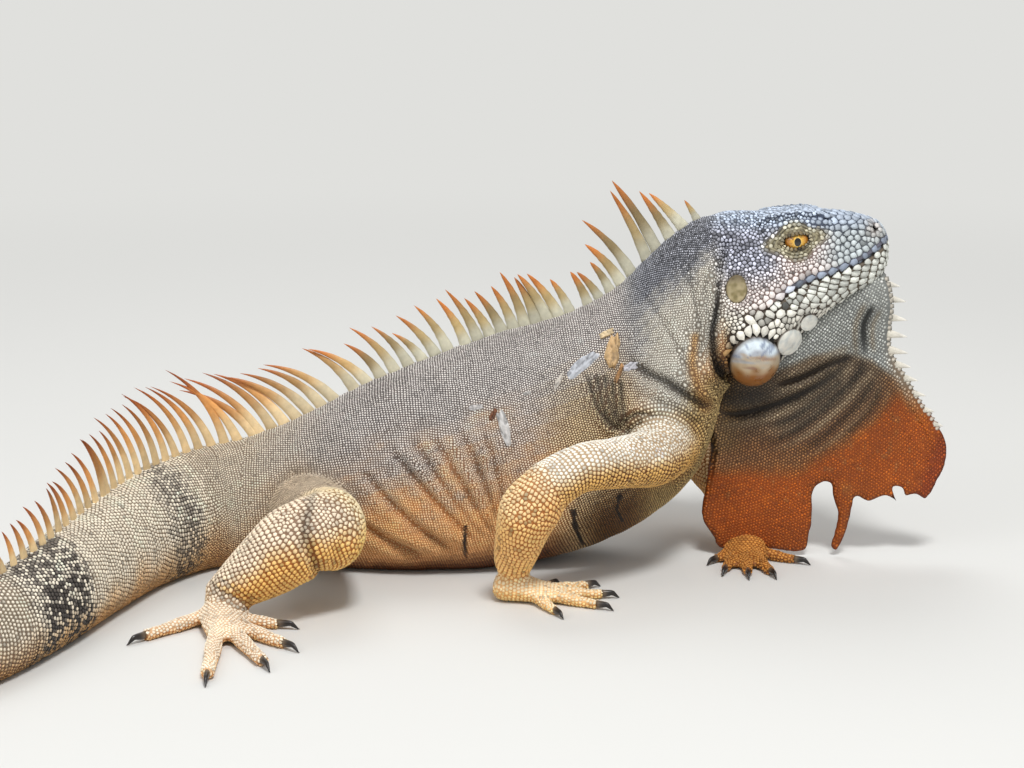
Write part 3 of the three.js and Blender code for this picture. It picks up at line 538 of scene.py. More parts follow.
# the pitch of the rows of scales and the width of a scale
LIMB_SCALES = {"arm": (2.15, 2.25), "forearm": (2.2, 2.3), "thigh": (2.2, 2.3), "shank": (2.3, 2.4)}
PALM_SCALES, DIGIT_SCALES = (1.9, 1.9), (1.9, 1.8)
DIGIT_END = 0.97  # where the scales of a digit give way to the claw
FORMS = [
    Form("trunk", "body", lambda t, a: body_rings(-t, a), -NECK_FRONT, -ROOT + TRUNK_OVERLAP, 1.36, 1.34),
    Form("tail", "tail", lambda t, a: body_rings(-t, a), -ROOT + TRUNK_OVERLAP, -ROOT + TAIL_END, 2.1, 1.95),
]
FIRST_LIMB = len(FORMS)
for parts, pair in ((("arm", "forearm"), (ARM_RIGHT, ARM_LEFT)), (("thigh", "shank"), (LEG_RIGHT, LEG_LEFT))):
    for (_, label), chains in zip(SIDES, pair):
        for part, chain in zip(parts, chains):
            FORMS.append(limb_form(f"{part}_{label}", part, chain, *LIMB_SCALES[part]))
for paw_name, paw in PAWS.items():
    kind = paw_name.split("_")[0]
    FORMS.append(limb_form(f"palm_{paw_name}", kind, palm_stations(paw), *PALM_SCALES))
    for digit in paw["digits"]:
        stations = digit_stations(paw, digit)
        FORMS.append(limb_form(f"digit_{paw_name}", kind, stations, *DIGIT_SCALES, DIGIT_END))
HEAD_FORM = len(FORMS)
GROUPS = ["body", "tail", "arm", "forearm", "hand", "thigh", "shank", "foot", "head"]


def share_of(shares, *groups):
    """How much of these groups together each point is."""
    return shares[:, [GROUPS.index(group) for group in groups]].sum(1)


# ------------------------------------------------------------------ the skin before it is sculpted
VOXEL = 2.0


def skin_solids():
    """Closed tubes that overlap where the parts of the body join."""
    angle = np.linspace(0, 2 * np.pi, 72, endpoint=False)
    made = [loft(body_rings(np.linspace(ROOT - TAIL_END, NECK_FRONT, 420), angle))]
    head = head_rings(np.linspace(HEAD[0, 0], HEAD[-1, 0], 70), angle)
    middle = head[-1].mean(0)
    snout = [middle + (head[-1] - middle) * share + [out, 0, 0] for share, out in ((0.8, 0.7), (0.5, 1.25))]
    made.append(loft(np.concatenate([head, np.array(snout)])))
    ends = np.array([0.9, 0.7, 0.4])
    stations = 28
    for form in FORMS[FIRST_LIMB:]:
        digit = form.name.startswith("digit")
        angle = np.linspace(0, 2 * np.pi, 24 if digit else 40, endpoint=False)
        t = np.concatenate([np.zeros(len(ends)), np.linspace(0, 1, stations), np.ones(len(ends))])
        out = np.concatenate([-ends, np.zeros(stations), ends[::-1]])
        if digit:
            t, out = t[:-len(ends)], out[:-len(ends)]
        made.append(loft(limb_rings(form.stations, t, angle, out)))
    return joined(made)


class Surface:
    """Points and quads of a skin, with what is worked out from them."""

    def __init__(self, points, quads):
        self.points, self.quads = points, quads
        pairs = np.concatenate([quads[:, [k, (k + 1) % 4]] for k in range(4)])
        pairs = np.unique(np.sort(pairs[pairs[:, 0] != pairs[:, 1]], axis=1), axis=0)
        self.ends = np.concatenate([pairs, pairs[:, ::-1]])
        self.count = np.bincount(self.ends[:, 0], minlength=len(points)).astype(float)

    def average(self, values):
        """The mean of each point's neighbours."""
        values = values.reshape(len(self.points), -1)
        total = [np.bincount(self.ends[:, 0], weights=values[self.ends[:, 1], k], minlength=len(self.points))
                 for k in range(values.shape[1])]
        return np.stack(total, -1) / self.count[:, None]

    def normals(self):
        """The way out of the skin at each point."""
        p = self.points[self.quads]
        flat = np.cross(p[:, 2] - p[:, 0], p[:, 3] - p[:, 1])
        made = np.zeros_like(self.points)
        for k in range(4):
            for axis in range(3):
                made[:, axis] += np.bincount(self.quads[:, k], weights=flat[:, axis], minlength=len(made))
        return unit(made)

    def relax(self, steps, share):
        """Smooths by a share of its own at each point."""
        for _ in range(steps):
            self.points = self.points + 0.5 * share[:, None] * (self.average(self.points) - self.points)

    def even(self, steps):
        """Smooths without shrinking."""
        for step in (0.5, -0.53) * steps:
            self.points = self.points + step * (self.average(self.points) - self.points)


def fused_skin():
    """The tubes fused into one skin."""
    points, faces = skin_solids()
    points[:, 2] = np.maximum(points[:, 2], 0.0)
    rough = make_object("rough", points, faces)
    remesh = rough.modifiers.new("fuse", "REMESH")
    remesh.mode = "VOXEL"
    remesh.voxel_size = VOXEL * MM
    graph = bpy.context.evaluated_depsgraph_get()
    mesh = bpy.data.meshes.new_from_object(rough.evaluated_get(graph))
    bpy.data.objects.remove(rough)
    return points_of(mesh), quads_of(mesh)


def fillet(surface):
    """Rounds the creases where the limbs, head and body meet."""
    surface.even(2)
    hollow = np.einsum("ij,ij->i", surface.average(surface.points) - surface.points, surface.normals())
    crease = (hollow > 0.2).astype(float)
    for _ in range(4):
        crease = np.maximum(crease, surface.average(crease)[:, 0])
    for _ in range(3):
        crease = surface.average(crease)[:, 0]
    surface.relax(22, np.clip(crease * 1.6, 0, 1))


def refine(points, quads, inside):
    """Splits the quads whose middles are inside into four, and fans the ones beside them."""
    quads = quads.astype(np.int64)
    middle = points[quads].mean(1)
    chosen = inside(middle) & (quads[:, 2] != quads[:, 3])
    step = len(points)
    ahead = np.roll(quads, -1, axis=1)
    key = np.minimum(quads, ahead) * step + np.maximum(quads, ahead)
    split = np.unique(key[chosen])
    mids = len(points) + np.searchsorted(split, key)
    is_split = np.isin(key, split)
    beside = ~chosen & is_split.any(1)
    changed = chosen | beside
    mid_points = (points[split // step] + points[split % step]) / 2
    centre = np.full(len(quads), -1)
    centre[changed] = len(points) + len(split) + np.arange(changed.sum())
    made = [quads[~changed]]
    for k in range(4):
        made.append(np.stack([quads[:, k], mids[:, k], centre, mids[:, k - 1]], -1)[chosen])
        real = quads[:, k] != ahead[:, k]
        cut = beside & is_split[:, k] & real
        made.append(np.stack([quads[:, k], mids[:, k], centre, centre], -1)[cut])
        made.append(np.stack([mids[:, k], ahead[:, k], centre, centre], -1)[cut])
        whole = beside & ~is_split[:, k] & real
        made.append(np.stack([quads[:, k], ahead[:, k], centre, centre], -1)[whole])
    return np.concatenate([points, mid_points, middle[changed]]), np.concatenate(made)


# ------------------------------------------------------------------ sculpting
MOUTH_LINE = [[250, 176.5], [246, 173], [235.8, 166.4], [220, 159.9], [204, 155], [190, 147], [178, 139]]
JAW_LINE = [[246, 157.5], [234.5, 147.5], [219.5, 142.5], [209.5, 143.2], [197, 143.6], [184, 143.5]]
CHEEK_FOLD = [[165, 186], [160.5, 168], [158, 147], [155.5, 126], [159, 110], [168, 101], [182, 97.5]]
FLANK_FOLDS = [
    [[-16, 72], [6, 48], [33, 19]], [[-2, 76], [16, 50], [38, 20]], [[8, 78], [24, 52], [42, 22]],
    [[23, 82], [35, 56], [44, 29]], [[36, 79], [43, 56], [47, 34]], [[-30, 60], [-8, 36], [20, 14]],
    [[-44, 40], [-24, 26], [4, 10]],
]
SHOULDER_FOLDS = [
    [[89, 110], [95.5, 91], [105.5, 78.5]], [[94, 110], [98.5, 91], [107, 78.5]],
    [[98, 110], [102, 91], [108, 78]], [[102, 108], [104.5, 91], [108.5, 80]],
    [[107, 107], [108, 91], [109.5, 81.5]], [[108, 82], [112, 87], [119, 88.5], [126, 86]],
    [[109, 77], [113, 83], [119, 84.5], [125, 82]],
]
NECK_FOLDS = [
    [[140, 168], [147, 142], [150, 112]], [[150, 162], [152.5, 138], [152, 112]],
    [[120, 150], [134, 128], [144, 108]], [[118, 98], [134, 92], [150, 80]],
    [[122, 88], [136, 84], [148, 72]],
]
NECK_FOLD = [[110, 118], [121, 109], [130.5, 104.5], [140.5, 98], [149, 92], [156, 87]]
# the folds of the trunk and neck: lines, then width, depth and ridge of the relief, then width, darkness and
# fade of the painted shade along them
FOLDS = (
    (FLANK_FOLDS, (2.7, 2.0, 0.6), (1.9, 0.3, 0.7)),
    (SHOULDER_FOLDS, (1.3, 1.9, 0.6), (1.5, 0.55, 0.12)),
    (NECK_FOLDS, (1.9, 0.8, 0.5), (1.8, 0.22, 0.3)),
    ([NECK_FOLD], (3.0, 3.4, 0.5), (2.3, 0.5, 0.2)),
)
# line and width
LEG_FOLDS = [
    ([[-49, 62], [-51, 50], [-47, 34], [-44, 18]], 2.6), ([[-100, 21], [-90, 17], [-79, 12]], 1.3),
    ([[-98, 17], [-88, 12.5], [-80, 8.5]], 1.1), ([[-96, 24], [-87, 20.5], [-77, 15]], 1.0),
]
# the hollow that the folds of the shoulder run into
HOLLOW = [112, 80]
SHOULDER_AT = [126, 63]
EYE_TILT = np.radians(11)
LID = (6.7, 3.9)  # half length and half height of the opening between the lids
LID_RISE = 0.6  # how far the middle of the opening lies above that of the eye
# the creases round the lids: where, in sizes of the opening, width and depth
LID_FOLDS = ((1.42, 0.1, 0.8), (1.85, 0.11, 0.8), (2.35, 0.13, 0.8), (2.9, 0.15, 0.5))
EAR_AT, EAR_SIZE, EAR_TALL = [167.5, 153], 5.6, 1.32
NOSTRIL = [241.5, 182.6]
# name, middle, radius, how much taller than long, and dome of each shield of the cheek
SHIELDS = (
    ("main", [178.6, 113.8], 14.1, 1.13, 4.4),
    ("second", [196.6, 123.4], 7.9, 1.08, 2.2),
    ("third", [207.2, 133.2], 5.4, 1.0, 1.5),
)
TAIL_LAST = -769.5  # the last scales of the tail sit ahead of here
TAIL_RING = 9.2  # the length of tail from one low ring to the next, at its root


def furrow(points, line, width, depth, ridge=0.4):
    """The height of a furrow along a line, with a swelling on each side and faded ends."""
    far, share = line_distance(points, line)
    ends = ramp(share, 0, 0.15) * ramp(-share, -1, -0.85)
    profile = -bell(far / width) + ridge * bell((far - 2.1 * width) / (1.2 * width))
    return profile * depth * ends


def lump(points, centre, radius, height):
    """A round swelling seen from the side, centre being [x, z]."""
    return height * bell(flat_distance(points, centre, radius))


def ear_distance(points):
    """How far points are from the middle of the ear, in mm of its length."""
    return flat_distance(points, EAR_AT, [1, EAR_TALL])


def on_shield(points, shield):
    """How many radii of a shield points are from its middle."""
    _, at, radius, tall, _ = shield
    return flat_distance(points, at, [1, tall]) / radius


def eye_middle(side):
    return EYE * [1, side, 1]


def eye_frame(points, side):
    """Places round an eye: forward and up in its own plane, and how far round the lids they are."""
    offset = points - eye_middle(side)
    forward = offset[:, 0] * np.cos(EYE_TILT) + offset[:, 2] * np.sin(EYE_TILT)
    up = offset[:, 2] * np.cos(EYE_TILT) - offset[:, 0] * np.sin(EYE_TILT) - LID_RISE
    almond = LID[1] * (1 - 0.22 * np.clip(forward / LID[0], -1.4, 1.4) ** 2)
    lids = np.sqrt((forward / LID[0]) ** 2 + (up / almond) ** 2)
    return forward, up, lids


def head_relief(points):
    """How far the skin of the head stands out from the plain form, on both sides."""
    on_head = ramp(points[:, 0], 140, 152)
    side = np.abs(points[:, 1])
    lateral = ramp(side, 3, 9)
    rise = furrow(points, CHEEK_FOLD, 2.2, 3.4, 0.5) * lateral
    rise += furrow(points, MOUTH_LINE, 0.75, 1.7, 0.45) * ramp(side, 0.5, 2)
    rise += lump(points, [178, 120], [15, 14], 2.2) * lateral
    rise += lump(points, [178, 160], [10, 9], 1.3) * lateral
    rise += lump(points, [199, 177], [15, 12], 1.2) * lateral
    brow = line_distance(points, [[183, 183.5], [199, 187.5], [214, 186]])[0]
    rise += 1.6 * bell(brow / 2.6) * lateral
    snout_edge = line_distance(points, [[214, 186], [226, 185.5], [236, 184.5]])[0]
    rise += 1.0 * bell(snout_edge / 2.4) * lateral
    rise -= lump(points, [222, 176], [9, 5], 1.2) * lateral
    rise += lump(points, [240.5, 182], [5, 4.2], 1.2) * ramp(side, 3, 7)
    rise -= lump(points, NOSTRIL, [1.7, 1.3], 3.2) * ramp(side, 4, 6)
    ear = ear_distance(points)
    rise += (0.7 * bell((ear - 7.2) / 1.2) - 4.2 * ramp(-ear, -6.3, -5.4)) * lateral
    for shield in SHIELDS:
        rise -= 1.4 * ramp(-on_shield(points, shield), -1.12, -0.95) * lateral
    middle = ramp(points[:, 2], 186, 190) * ramp(-side, -12, -7) * ramp(points[:, 0], 205, 215)
    rise -= 0.5 * middle
    return rise * on_head


def body_relief(points, place):
    """The folds and muscles of the trunk and neck."""
    side = ramp(np.abs(points[:, 1]), 8, 20)
    rise = np.zeros(len(points))
    for lines, shape, _ in FOLDS:
        rise += sum(furrow(points, line, *shape) for line in lines) * side
    rise -= lump(points, HOLLOW, [7, 5], 2.2) * side
    rise += lump(points, [133, 78], [15, 15], 2.4) * side
    rise += 0.5 * noise(points, 17, 5) + 0.25 * noise(points, 7, 6)
    return rise * ramp(place, ROOT - 10, ROOT + 20)


def tail_relief(place):
    """Low rings along the tail, one to every few rows of scales."""
    back = ROOT - place
    thin = np.clip(1.15 - 0.5 * back / TAIL_END, 0.4, 2)
    ring = np.abs(np.sin(np.pi * (back / TAIL_RING / thin))) ** 0.6 - 0.6
    return 0.35 * ring * ramp(back, 15, 60) * ramp(-back, -800, -600)


def outer_leg(points, shares):
    """How much a point is of the outer side of a hind leg, which carries the folds."""
    return share_of(shares, "thigh", "shank", "foot") * ramp(np.abs(points[:, 1]), 90, 104)


def limb_relief(points, shares):
    """The unevenness of the limbs and the folds of the knee and ankle."""
    limb = share_of(shares, "arm", "forearm", "thigh", "shank")
    rise = (0.45 * noise(points, 11, 8) + 0.15 * noise(points, 4.5, 9)) * limb
    folds = sum(furrow(points, line, width, 0.9 * width, 0.25) for line, width in LEG_FOLDS)
    return rise + folds * outer_leg(points, shares)


def shape_lids(skin):
    """Sinks the skin over the eyes and raises rims and creases round them."""
    for side in (RIGHT, LEFT):
        near = np.linalg.norm(skin.points - eye_middle(side), axis=1) < 22
        forward, up, lids = eye_frame(skin.points, side)
        ball = np.maximum(EYE_RADIUS ** 2 - forward ** 2 - (up + LID_RISE) ** 2, 0)
        surface = EYE[1] + np.sqrt(ball)
        out = skin.points[:, 1] * side
        cover = np.maximum(out, surface + 1.0 * ramp(-lids, -2.2, -1.05))
        folds = sum(-depth * bell((lids - at) / wide) for at, wide, depth in LID_FOLDS)
        folds += 0.4 * bell((lids - 1.15) / 0.12)
        cover = cover + folds * ramp(-lids, -3.6, -3.0)
        hole = surface - 1.6
        out = np.where(lids < 1.0, np.minimum(hole, cover), cover)
        skin.points[near, 1] = (out * side)[near]


def near_face(points):
    """Where the skin needs its finest mesh: round the eyes, the mouth, the nostrils and the ears."""
    side = np.abs(points[:, 1]) > 3
    eye = flat_distance(points, EYE[[0, 2]]) < 15
    mouth = (line_distance(points, MOUTH_LINE)[0] < 2.6) & (points[:, 0] > 172)
    snout = points[:, 0] > 234
    return (eye & side) | mouth | snout


# ------------------------------------------------------------------ rows of scales laid along the forms
# A seed is a scale: its point, its lie and the columns named here. Its reach is how near another may come.
SIZE, FORM, ALONG, ROUND, HEIGHT, REACH = range(6, 12)
ROW_SLANT = 24


def ring_points(ring, share):
    """Points at shares of the way round a closed ring, and its length."""
    closed = np.vstack([ring, ring[:1]])
    run = run_along(closed)
    return points_at(closed, run, share * run[-1]), run[-1]


def slanted(grid, table, t):
    """A ring of the trunk whose lower part lies further ahead, as the rows of its scales do."""
    share = ramp(t, -165, -65) * ramp(-t, -115, -30)
    angle = np.linspace(0, 2 * np.pi, grid.shape[1], endpoint=False)
    place = np.interp(t - ROW_SLANT * share * (1 - np.cos(angle)) / 2, table, np.arange(len(table)) * 1.0)
    low = np.minimum(place.astype(int), len(table) - 2)
    f = (place - low)[:, None]
    column = np.arange(grid.shape[1])
    return grid[low, column] * (1 - f) + grid[low + 1, column] * f


def row_size(form, at, length):
    """How large the scales of a form are at a distance along it, as a share of their usual size."""
    if form.group == "tail":
        return min(0.7 + 0.4 * at / 45, 1.15 - 0.5 * at / length)
    return 1.0


def form_rows(form, number):
    """Seeds for the scales of a form, up to the place round it, with the places in mm."""
    table = np.linspace(form.start, form.end, 300)
    angle = np.linspace(0, 2 * np.pi, 120, endpoint=False) + np.pi / 2
    grid = form.rings(table, angle)
    run = run_along(grid.mean(1))
    places = [form.pitch * 0.7 if form.group == "tail" else 0.0]
    while places[-1] < run[-1]:
        places.append(places[-1] + form.pitch * row_size(form, places[-1], run[-1]))
    t = np.interp(places, run, table)
    if form.group == "body":
        rings = [slanted(grid, table, at) for at in t]
        ahead = [slanted(grid, table, at + 0.5) for at in t]
    else:
        rings = form.rings(t, angle)
        ahead = form.rings(t + (table[1] - table[0]) * 0.5, angle)
    rows = []
    for row, place in enumerate(places):
        width = form.width * row_size(form, place, run[-1])
        around = ring_points(rings[row], np.zeros(1))[1]
        count = max(int(round(around / width)), 5)
        share = (np.arange(count) + 0.5 * (row % 2)) / count
        points = ring_points(rings[row], share)[0]
        lies = ring_points(ahead[row], share)[0] - points
        same = np.ones(count)
        stretch = same
        if number < FIRST_LIMB and t[row] > -ROOT - 10:
            step = np.linalg.norm(lies, axis=1)
            stretch = np.clip(step / (step.mean() + 1e-6), 1, 1.5)
        rows.append(np.column_stack([points, lies, stretch * width, same * number, same * place,
                                     (share - 0.5) * around]))
    return np.concatenate(rows)


def tree_of(points):
    tree = KDTree(len(points))
    for i, p in enumerate(points.tolist()):
        tree.insert(p, i)
    tree.balance()
    return tree


def nearest(tree, points):
    """The number of the tree's point nearest to each of these."""
    return np.array([tree.find(p)[1] for p in points.tolist()])


class Skin(Surface):
    """The skin with its tree and the shares of each group of the body at each point."""

    def settle(self):
        self.points[:, 2] = np.maximum(self.points[:, 2], 0.02)
        self.normal = self.normals()
        self.tree = BVHTree.FromPolygons(self.points.tolist(), self.quads.tolist())

    def drop(self, points):
        """The nearest place on the skin to each point, its normal there, the distance and the face."""
        place, face, far = np.zeros_like(points), np.zeros(len(points), int), np.zeros(len(points))
        for i, p in enumerate(points.tolist()):
            at, _, index, distance = self.tree.find_nearest(p)
            place[i], face[i], far[i] = at, index, distance
        near = self.quads[face]
        weight = 1 / (np.linalg.norm(self.points[near] - place[:, None], axis=2) + 0.05)
        weight /= weight.sum(1, keepdims=True)
        normal = unit((self.normal[near] * weight[..., None]).sum(1))
        return place, normal, far, (near, weight)

    def share(self, values, hold):
        """Values of the skin's points carried to dropped places."""
        near, weight = hold
        return (values[near] * weight[..., None]).sum(1)


def group_shares(surface):
    """How much of each group a point of the skin is, blended where they meet."""
    angle = np.linspace(0, 2 * np.pi, 36, endpoint=False)
    samples, kinds = [], []
    for form in FORMS:
        steps = 240 if form.group in ("body", "tail") else 30
        samples.append(form.rings(np.linspace(form.start, form.end, steps), angle).reshape(-1, 3))
        kinds.append(np.full(len(samples[-1]), GROUPS.index(form.group)))
    samples.append(head_rings(np.linspace(HEAD[0, 0] + 6, HEAD[-1, 0], 60), angle).reshape(-1, 3))
    kinds.append(np.full(len(samples[-1]), GROUPS.index("head")))
    tree = tree_of(np.concatenate(samples))
    shares = np.eye(len(GROUPS))[np.concatenate(kinds)[nearest(tree, surface.points)]]
    for _ in range(14):
        shares = shares + 0.8 * (surface.average(shares) - shares)
    return shares


class BodyPlace:
    """Finds the place along the body and round it of any point."""

    def __init__(self, steps=520, around=60):
        self.place = np.linspace(-ROOT + TAIL_END, -NECK_FRONT, steps)
        self.round = (np.arange(around) + 0.5) / around - 0.5
        angle = np.pi / 2 + self.round * 2 * np.pi
        self.tree = tree_of(body_rings(-self.place, angle).reshape(-1, 3))

    def find(self, points):
        row, column = np.divmod(nearest(self.tree, points), len(self.round))
        return -self.place[row], self.round[column]


# ------------------------------------------------------------------ markings and painted shade
# Each marking is a pair of colours: that of the scales, and that of the skin between them.
TAIL_TONES = {
    "back": ((252, 242, 222), (114, 98, 80)),
    "low": ((212, 166, 110), (104, 60, 28)),
    "end": ((186, 162, 126), (88, 66, 46)),
    "band": ((72, 66, 62), (20, 17, 17)),
}
BODY_TONES = {
    "back": ((244, 238, 233), (66, 59, 57)),
    "flank": ((255, 238, 220), (116, 84, 60)),
    "low flank": ((255, 214, 154), (184, 114, 58)),
    # the belly's orange-brown darkened further: partly its own colour, partly painted shade under the body
    "belly": ((122, 66, 28), (44, 19, 6)),
    "shoulder": ((250, 228, 184), (80, 52, 26)),
    "shoulder cap": ((246, 226, 178), (84, 58, 26)),
    # the chest's orange-brown darkened further: partly its own colour, partly painted shade under the arms
    "chest": ((130, 90, 44), (38, 21, 8)),
    "front": ((212, 184, 126), (86, 66, 36)),
    "neck": ((252, 248, 236), (122, 114, 102)),
    "nape": ((176, 178, 186), (36, 37, 44)),
    "gold streak": ((202, 158, 98), (106, 68, 34)),
    "black streak": ((40, 34, 30), (18, 14, 12)),
}
HEAD_TONES = {
    "face": ((244, 234, 230), (108, 88, 82)),
    "temple": ((172, 174, 188), (30, 31, 40)),
    "snout": ((194, 202, 204), (84, 88, 94)),
    "crown": ((184, 196, 212), (58, 66, 84)),
    "upper lip": ((142, 152, 168), (84, 82, 92)),
    "lower jaw": ((226, 228, 220), (84, 72, 58)),
    "cheek": ((246, 242, 230), (46, 36, 26)),
    "behind the jaw": ((108, 92, 70), (22, 16, 11)),
    "chin": ((206, 210, 204), (90, 92, 90)),
    "round the nostril": ((226, 214, 204), (150, 138, 128)),
    "lids": ((186, 180, 154), (146, 138, 108)),
    # painted shade in the creases round the lids
    "lid crease shade": ((92, 82, 60), (56, 46, 30)),
    "lid edge": ((112, 98, 70), (30, 22, 14)),
    "round the shields": ((60, 48, 38), (14, 10, 8)),
    # the hole of the nostril painted near black: painted shade in its depth
    "nostril": ((20, 16, 14), (14, 10, 9)),
}
# below and above; of the foot, the top and the sides of the toes
LIMB_TONES = {
    "arm": (((244, 194, 112), (92, 44, 10)), ((255, 252, 240), (176, 146, 110))),
    "forearm": (((255, 206, 130), (164, 94, 38)), ((252, 222, 170), (164, 104, 52))),
    "hand": (((255, 222, 152), (222, 158, 90)), ((255, 242, 208), (240, 194, 136))),
    "thigh": (((255, 212, 122), (166, 104, 34)), ((255, 238, 196), (156, 116, 66))),
    "shank": (((255, 206, 118), (164, 92, 30)), ((246, 228, 202), (128, 98, 74))),
    "foot": (((255, 244, 222), (206, 164, 122)), ((255, 208, 146), (190, 116, 56))),
}
# the left hand darker and more orange than the right one: painted shade
SHADED_LEFT_HAND_TONES = (206, 142, 66), (134, 76, 24)
INNER_THIGH_TONES = (188, 170, 146), (104, 88, 69)
# start, end and strength, by distance from the root
TAIL_BANDS = ((52, 68, 0.6), (164, 204, 1), (282, 320, 1), (400, 438, 1), (514, 552, 1), (628, 664, 1),
              (742, 772, 1))
GOLD_STREAK = [[146, 128], [145, 114], [148, 102], [153, 90]]
# line and width
BLACK_STREAKS = (([[107, 44], [106, 36], [109, 27]], 1.6), ([[82, 36], [84, 26], [88, 13]], 2.2),
                 ([[26, 30], [25, 20], [26, 10]], 1.5))


def mix(a, b, share):
    return np.asarray(a, float) + (np.asarray(b, float) - np.asarray(a, float)) * share[:, None]


def blend(tone, share, light, dark):
    """Moves a pair of colours, of scales and of the skin between them, towards another pair."""
    return mix(tone[0], light, share), mix(tone[1], dark, share)


def body_tones(points, place, low, blotch):
    """The colours of the trunk and neck; low is 0 along the back and 1 along the belly."""
    side = np.abs(points[:, 1])
    tone = BODY_TONES["back"]
    tone = blend(tone, ramp(low + 0.07 * blotch, 0.22, 0.5), *BODY_TONES["flank"])
    warm = low + 0.07 * blotch + 0.05 * noise(points, 6, 16)
    tone = blend(tone, ramp(warm, 0.33, 0.58), *BODY_TONES["low flank"])
    # the belly tone, partly painted shade under the body
    tone = blend(tone, ramp(low, 0.66, 0.82), *BODY_TONES["belly"])
    rump = ramp(-place, 30, -ROOT + 16)
    tone = blend(tone, rump, *TAIL_TONES["back"])
    tone = blend(tone, rump * ramp(low, 0.4, 0.8), *TAIL_TONES["low"])
    shoulder = ramp(place, 58, 88) * ramp(-place, -126, -108) * ramp(low, 0.2, 0.42)
    tone = blend(tone, shoulder, *BODY_TONES["shoulder"])
    cap = flat_distance(points, np.add(SHOULDER_AT, [6, 10]), [22, 26]) + 0.12 * blotch
    tone = blend(tone, ramp(-cap, -1.1, -0.75) * ramp(side, 10, 20), *BODY_TONES["shoulder cap"])
    # the chest tone, partly painted shade under the arms
    tone = blend(tone, ramp(place, 74, 96) * ramp(low, 0.56, 0.72), *BODY_TONES["chest"])
    front = ramp(place, 104, 122) * ramp(low, 0.48, 0.6) * ramp(-points[:, 2], -112, -98)
    tone = blend(tone, front, *BODY_TONES["front"])
    neck = ramp(place, 110, 130)
    tone = blend(tone, neck * ramp(-low, -0.66, -0.5), *BODY_TONES["neck"])
    nape = neck * ramp(-low - 0.06 * blotch - 0.03 * noise(points, 5, 7), -0.34, -0.18)
    tone = blend(tone, nape, *BODY_TONES["nape"])
    gold, share = line_distance(points, GOLD_STREAK)
    wide = 2.2 + 1.6 * share + 0.9 * noise(points, 5, 12)
    streak = bell(gold / np.maximum(wide, 0.8)) * ramp(side, 8, 14)
    tone = blend(tone, streak * 0.85, *BODY_TONES["gold streak"])
    for line, width in BLACK_STREAKS:
        far, share = line_distance(points, line)
        wide = width * (0.75 + 0.5 * noise(points, 4, 13)) * (1 - 0.5 * share)
        streak = np.exp(-(far / np.maximum(wide, 0.2)) ** 4) * ramp(side, 6, 12)
        tone = blend(tone, streak, *BODY_TONES["black streak"])
    return tone


def tail_tones(points, place, low, blotch, grain):
    """The colours of the tail, with its dark bands broken into dots."""
    back = ROOT - place
    tone = TAIL_TONES["back"]
    tone = blend(tone, ramp(low + 0.05 * blotch, 0.4, 0.74), *TAIL_TONES["low"])
    tone = blend(tone, ramp(back, 300, 640) * 0.6, *TAIL_TONES["end"])
    ring = np.zeros(len(points))
    for start, end, strength in TAIL_BANDS:
        edge = back + 5 * blotch + 6 * grain
        band = ramp(edge, start - 4, start + 4) * ramp(-edge, -end - 16, -end + 4)
        ring = np.maximum(ring, strength * band)
    ring = ring * (0.7 + 0.3 * ramp(low, 0.1, 0.4))
    dotted = ring * ramp(noise(points, 0.9, 14), -0.15, 0.2)
    light, dark = TAIL_TONES["band"]
    return mix(tone[0], light, dotted), mix(tone[1], dark, ring ** 0.6)


def head_tones(points, blotch):
    """The colours of the head and of the skin round the eyes, nostrils and shields, with painted shade in the
    lid creases and the nostril holes.
    """
    x, side, z = points[:, 0], np.abs(points[:, 1]), points[:, 2]
    tone = HEAD_TONES["face"]
    temple = ramp(-x + 3 * blotch, -196, -180) * ramp(z + 2 * blotch, 150, 168)
    tone = blend(tone, temple, *HEAD_TONES["temple"])
    tone = blend(tone, ramp(x, 205, 224) * ramp(z, 160, 168), *HEAD_TONES["snout"])
    tone = blend(tone, ramp(z + 1.5 * blotch, 179, 188), *HEAD_TONES["crown"])
    mouth = course(MOUTH_LINE, np.linspace(0, 1, 40))[::-1]
    above = z - np.interp(x, mouth[:, 0], mouth[:, 1])
    lip = ramp(x, 186, 200) * ramp(above, 0, 0.6) * ramp(-above, -5.0, -3.8)
    tone = blend(tone, lip, *HEAD_TONES["upper lip"])
    tone = blend(tone, ramp(-above, -0.4, 0.4) * ramp(z, 132, 140), *HEAD_TONES["lower jaw"])
    tone = blend(tone, ramp(-z, -148, -136) * ramp(side, 4, 9), *HEAD_TONES["cheek"])
    rear = ramp(-x + 0.2 * (z - 120), -167, -159) * ramp(-z, -140, -122) * ramp(side, 8, 14)
    tone = blend(tone, rear * 0.9, *HEAD_TONES["behind the jaw"])
    tone = blend(tone, ramp(-side, -9, -4) * ramp(-z, -160, -150), *HEAD_TONES["chin"])
    pale = bell(flat_distance(points, NOSTRIL) / 4.5) * ramp(side, 3, 6)
    tone = blend(tone, pale * 0.8, *HEAD_TONES["round the nostril"])
    for which in (RIGHT, LEFT):
        lids = eye_frame(points, which)[2]
        near = ramp(points[:, 1] * which, 6, 9)
        ring = ramp(-lids - 0.25 * blotch, -3.3, -1.9) * near
        tone = blend(tone, ring * 0.95, *HEAD_TONES["lids"])
        # painted shade in the three inner creases round the lids
        crease = sum(bell((lids - at) / 0.11) for at, _, _ in LID_FOLDS[:3])
        tone = blend(tone, np.clip(crease, 0, 1) * near * 0.8, *HEAD_TONES["lid crease shade"])
        tone = blend(tone, ramp(-lids, -1.32, -1.16) * near, *HEAD_TONES["lid edge"])
    for shield in SHIELDS:
        margin = ramp(-on_shield(points, shield), -1.1, -1.04)
        tone = blend(tone, margin * ramp(side, 8, 12), *HEAD_TONES["round the shields"])
    # painted shade in the hole of each nostril
    hole = np.exp(-(flat_distance(points, NOSTRIL) / 1.5) ** 4) * ramp(side, 4, 6)
    return blend(tone, hole, *HEAD_TONES["nostril"])


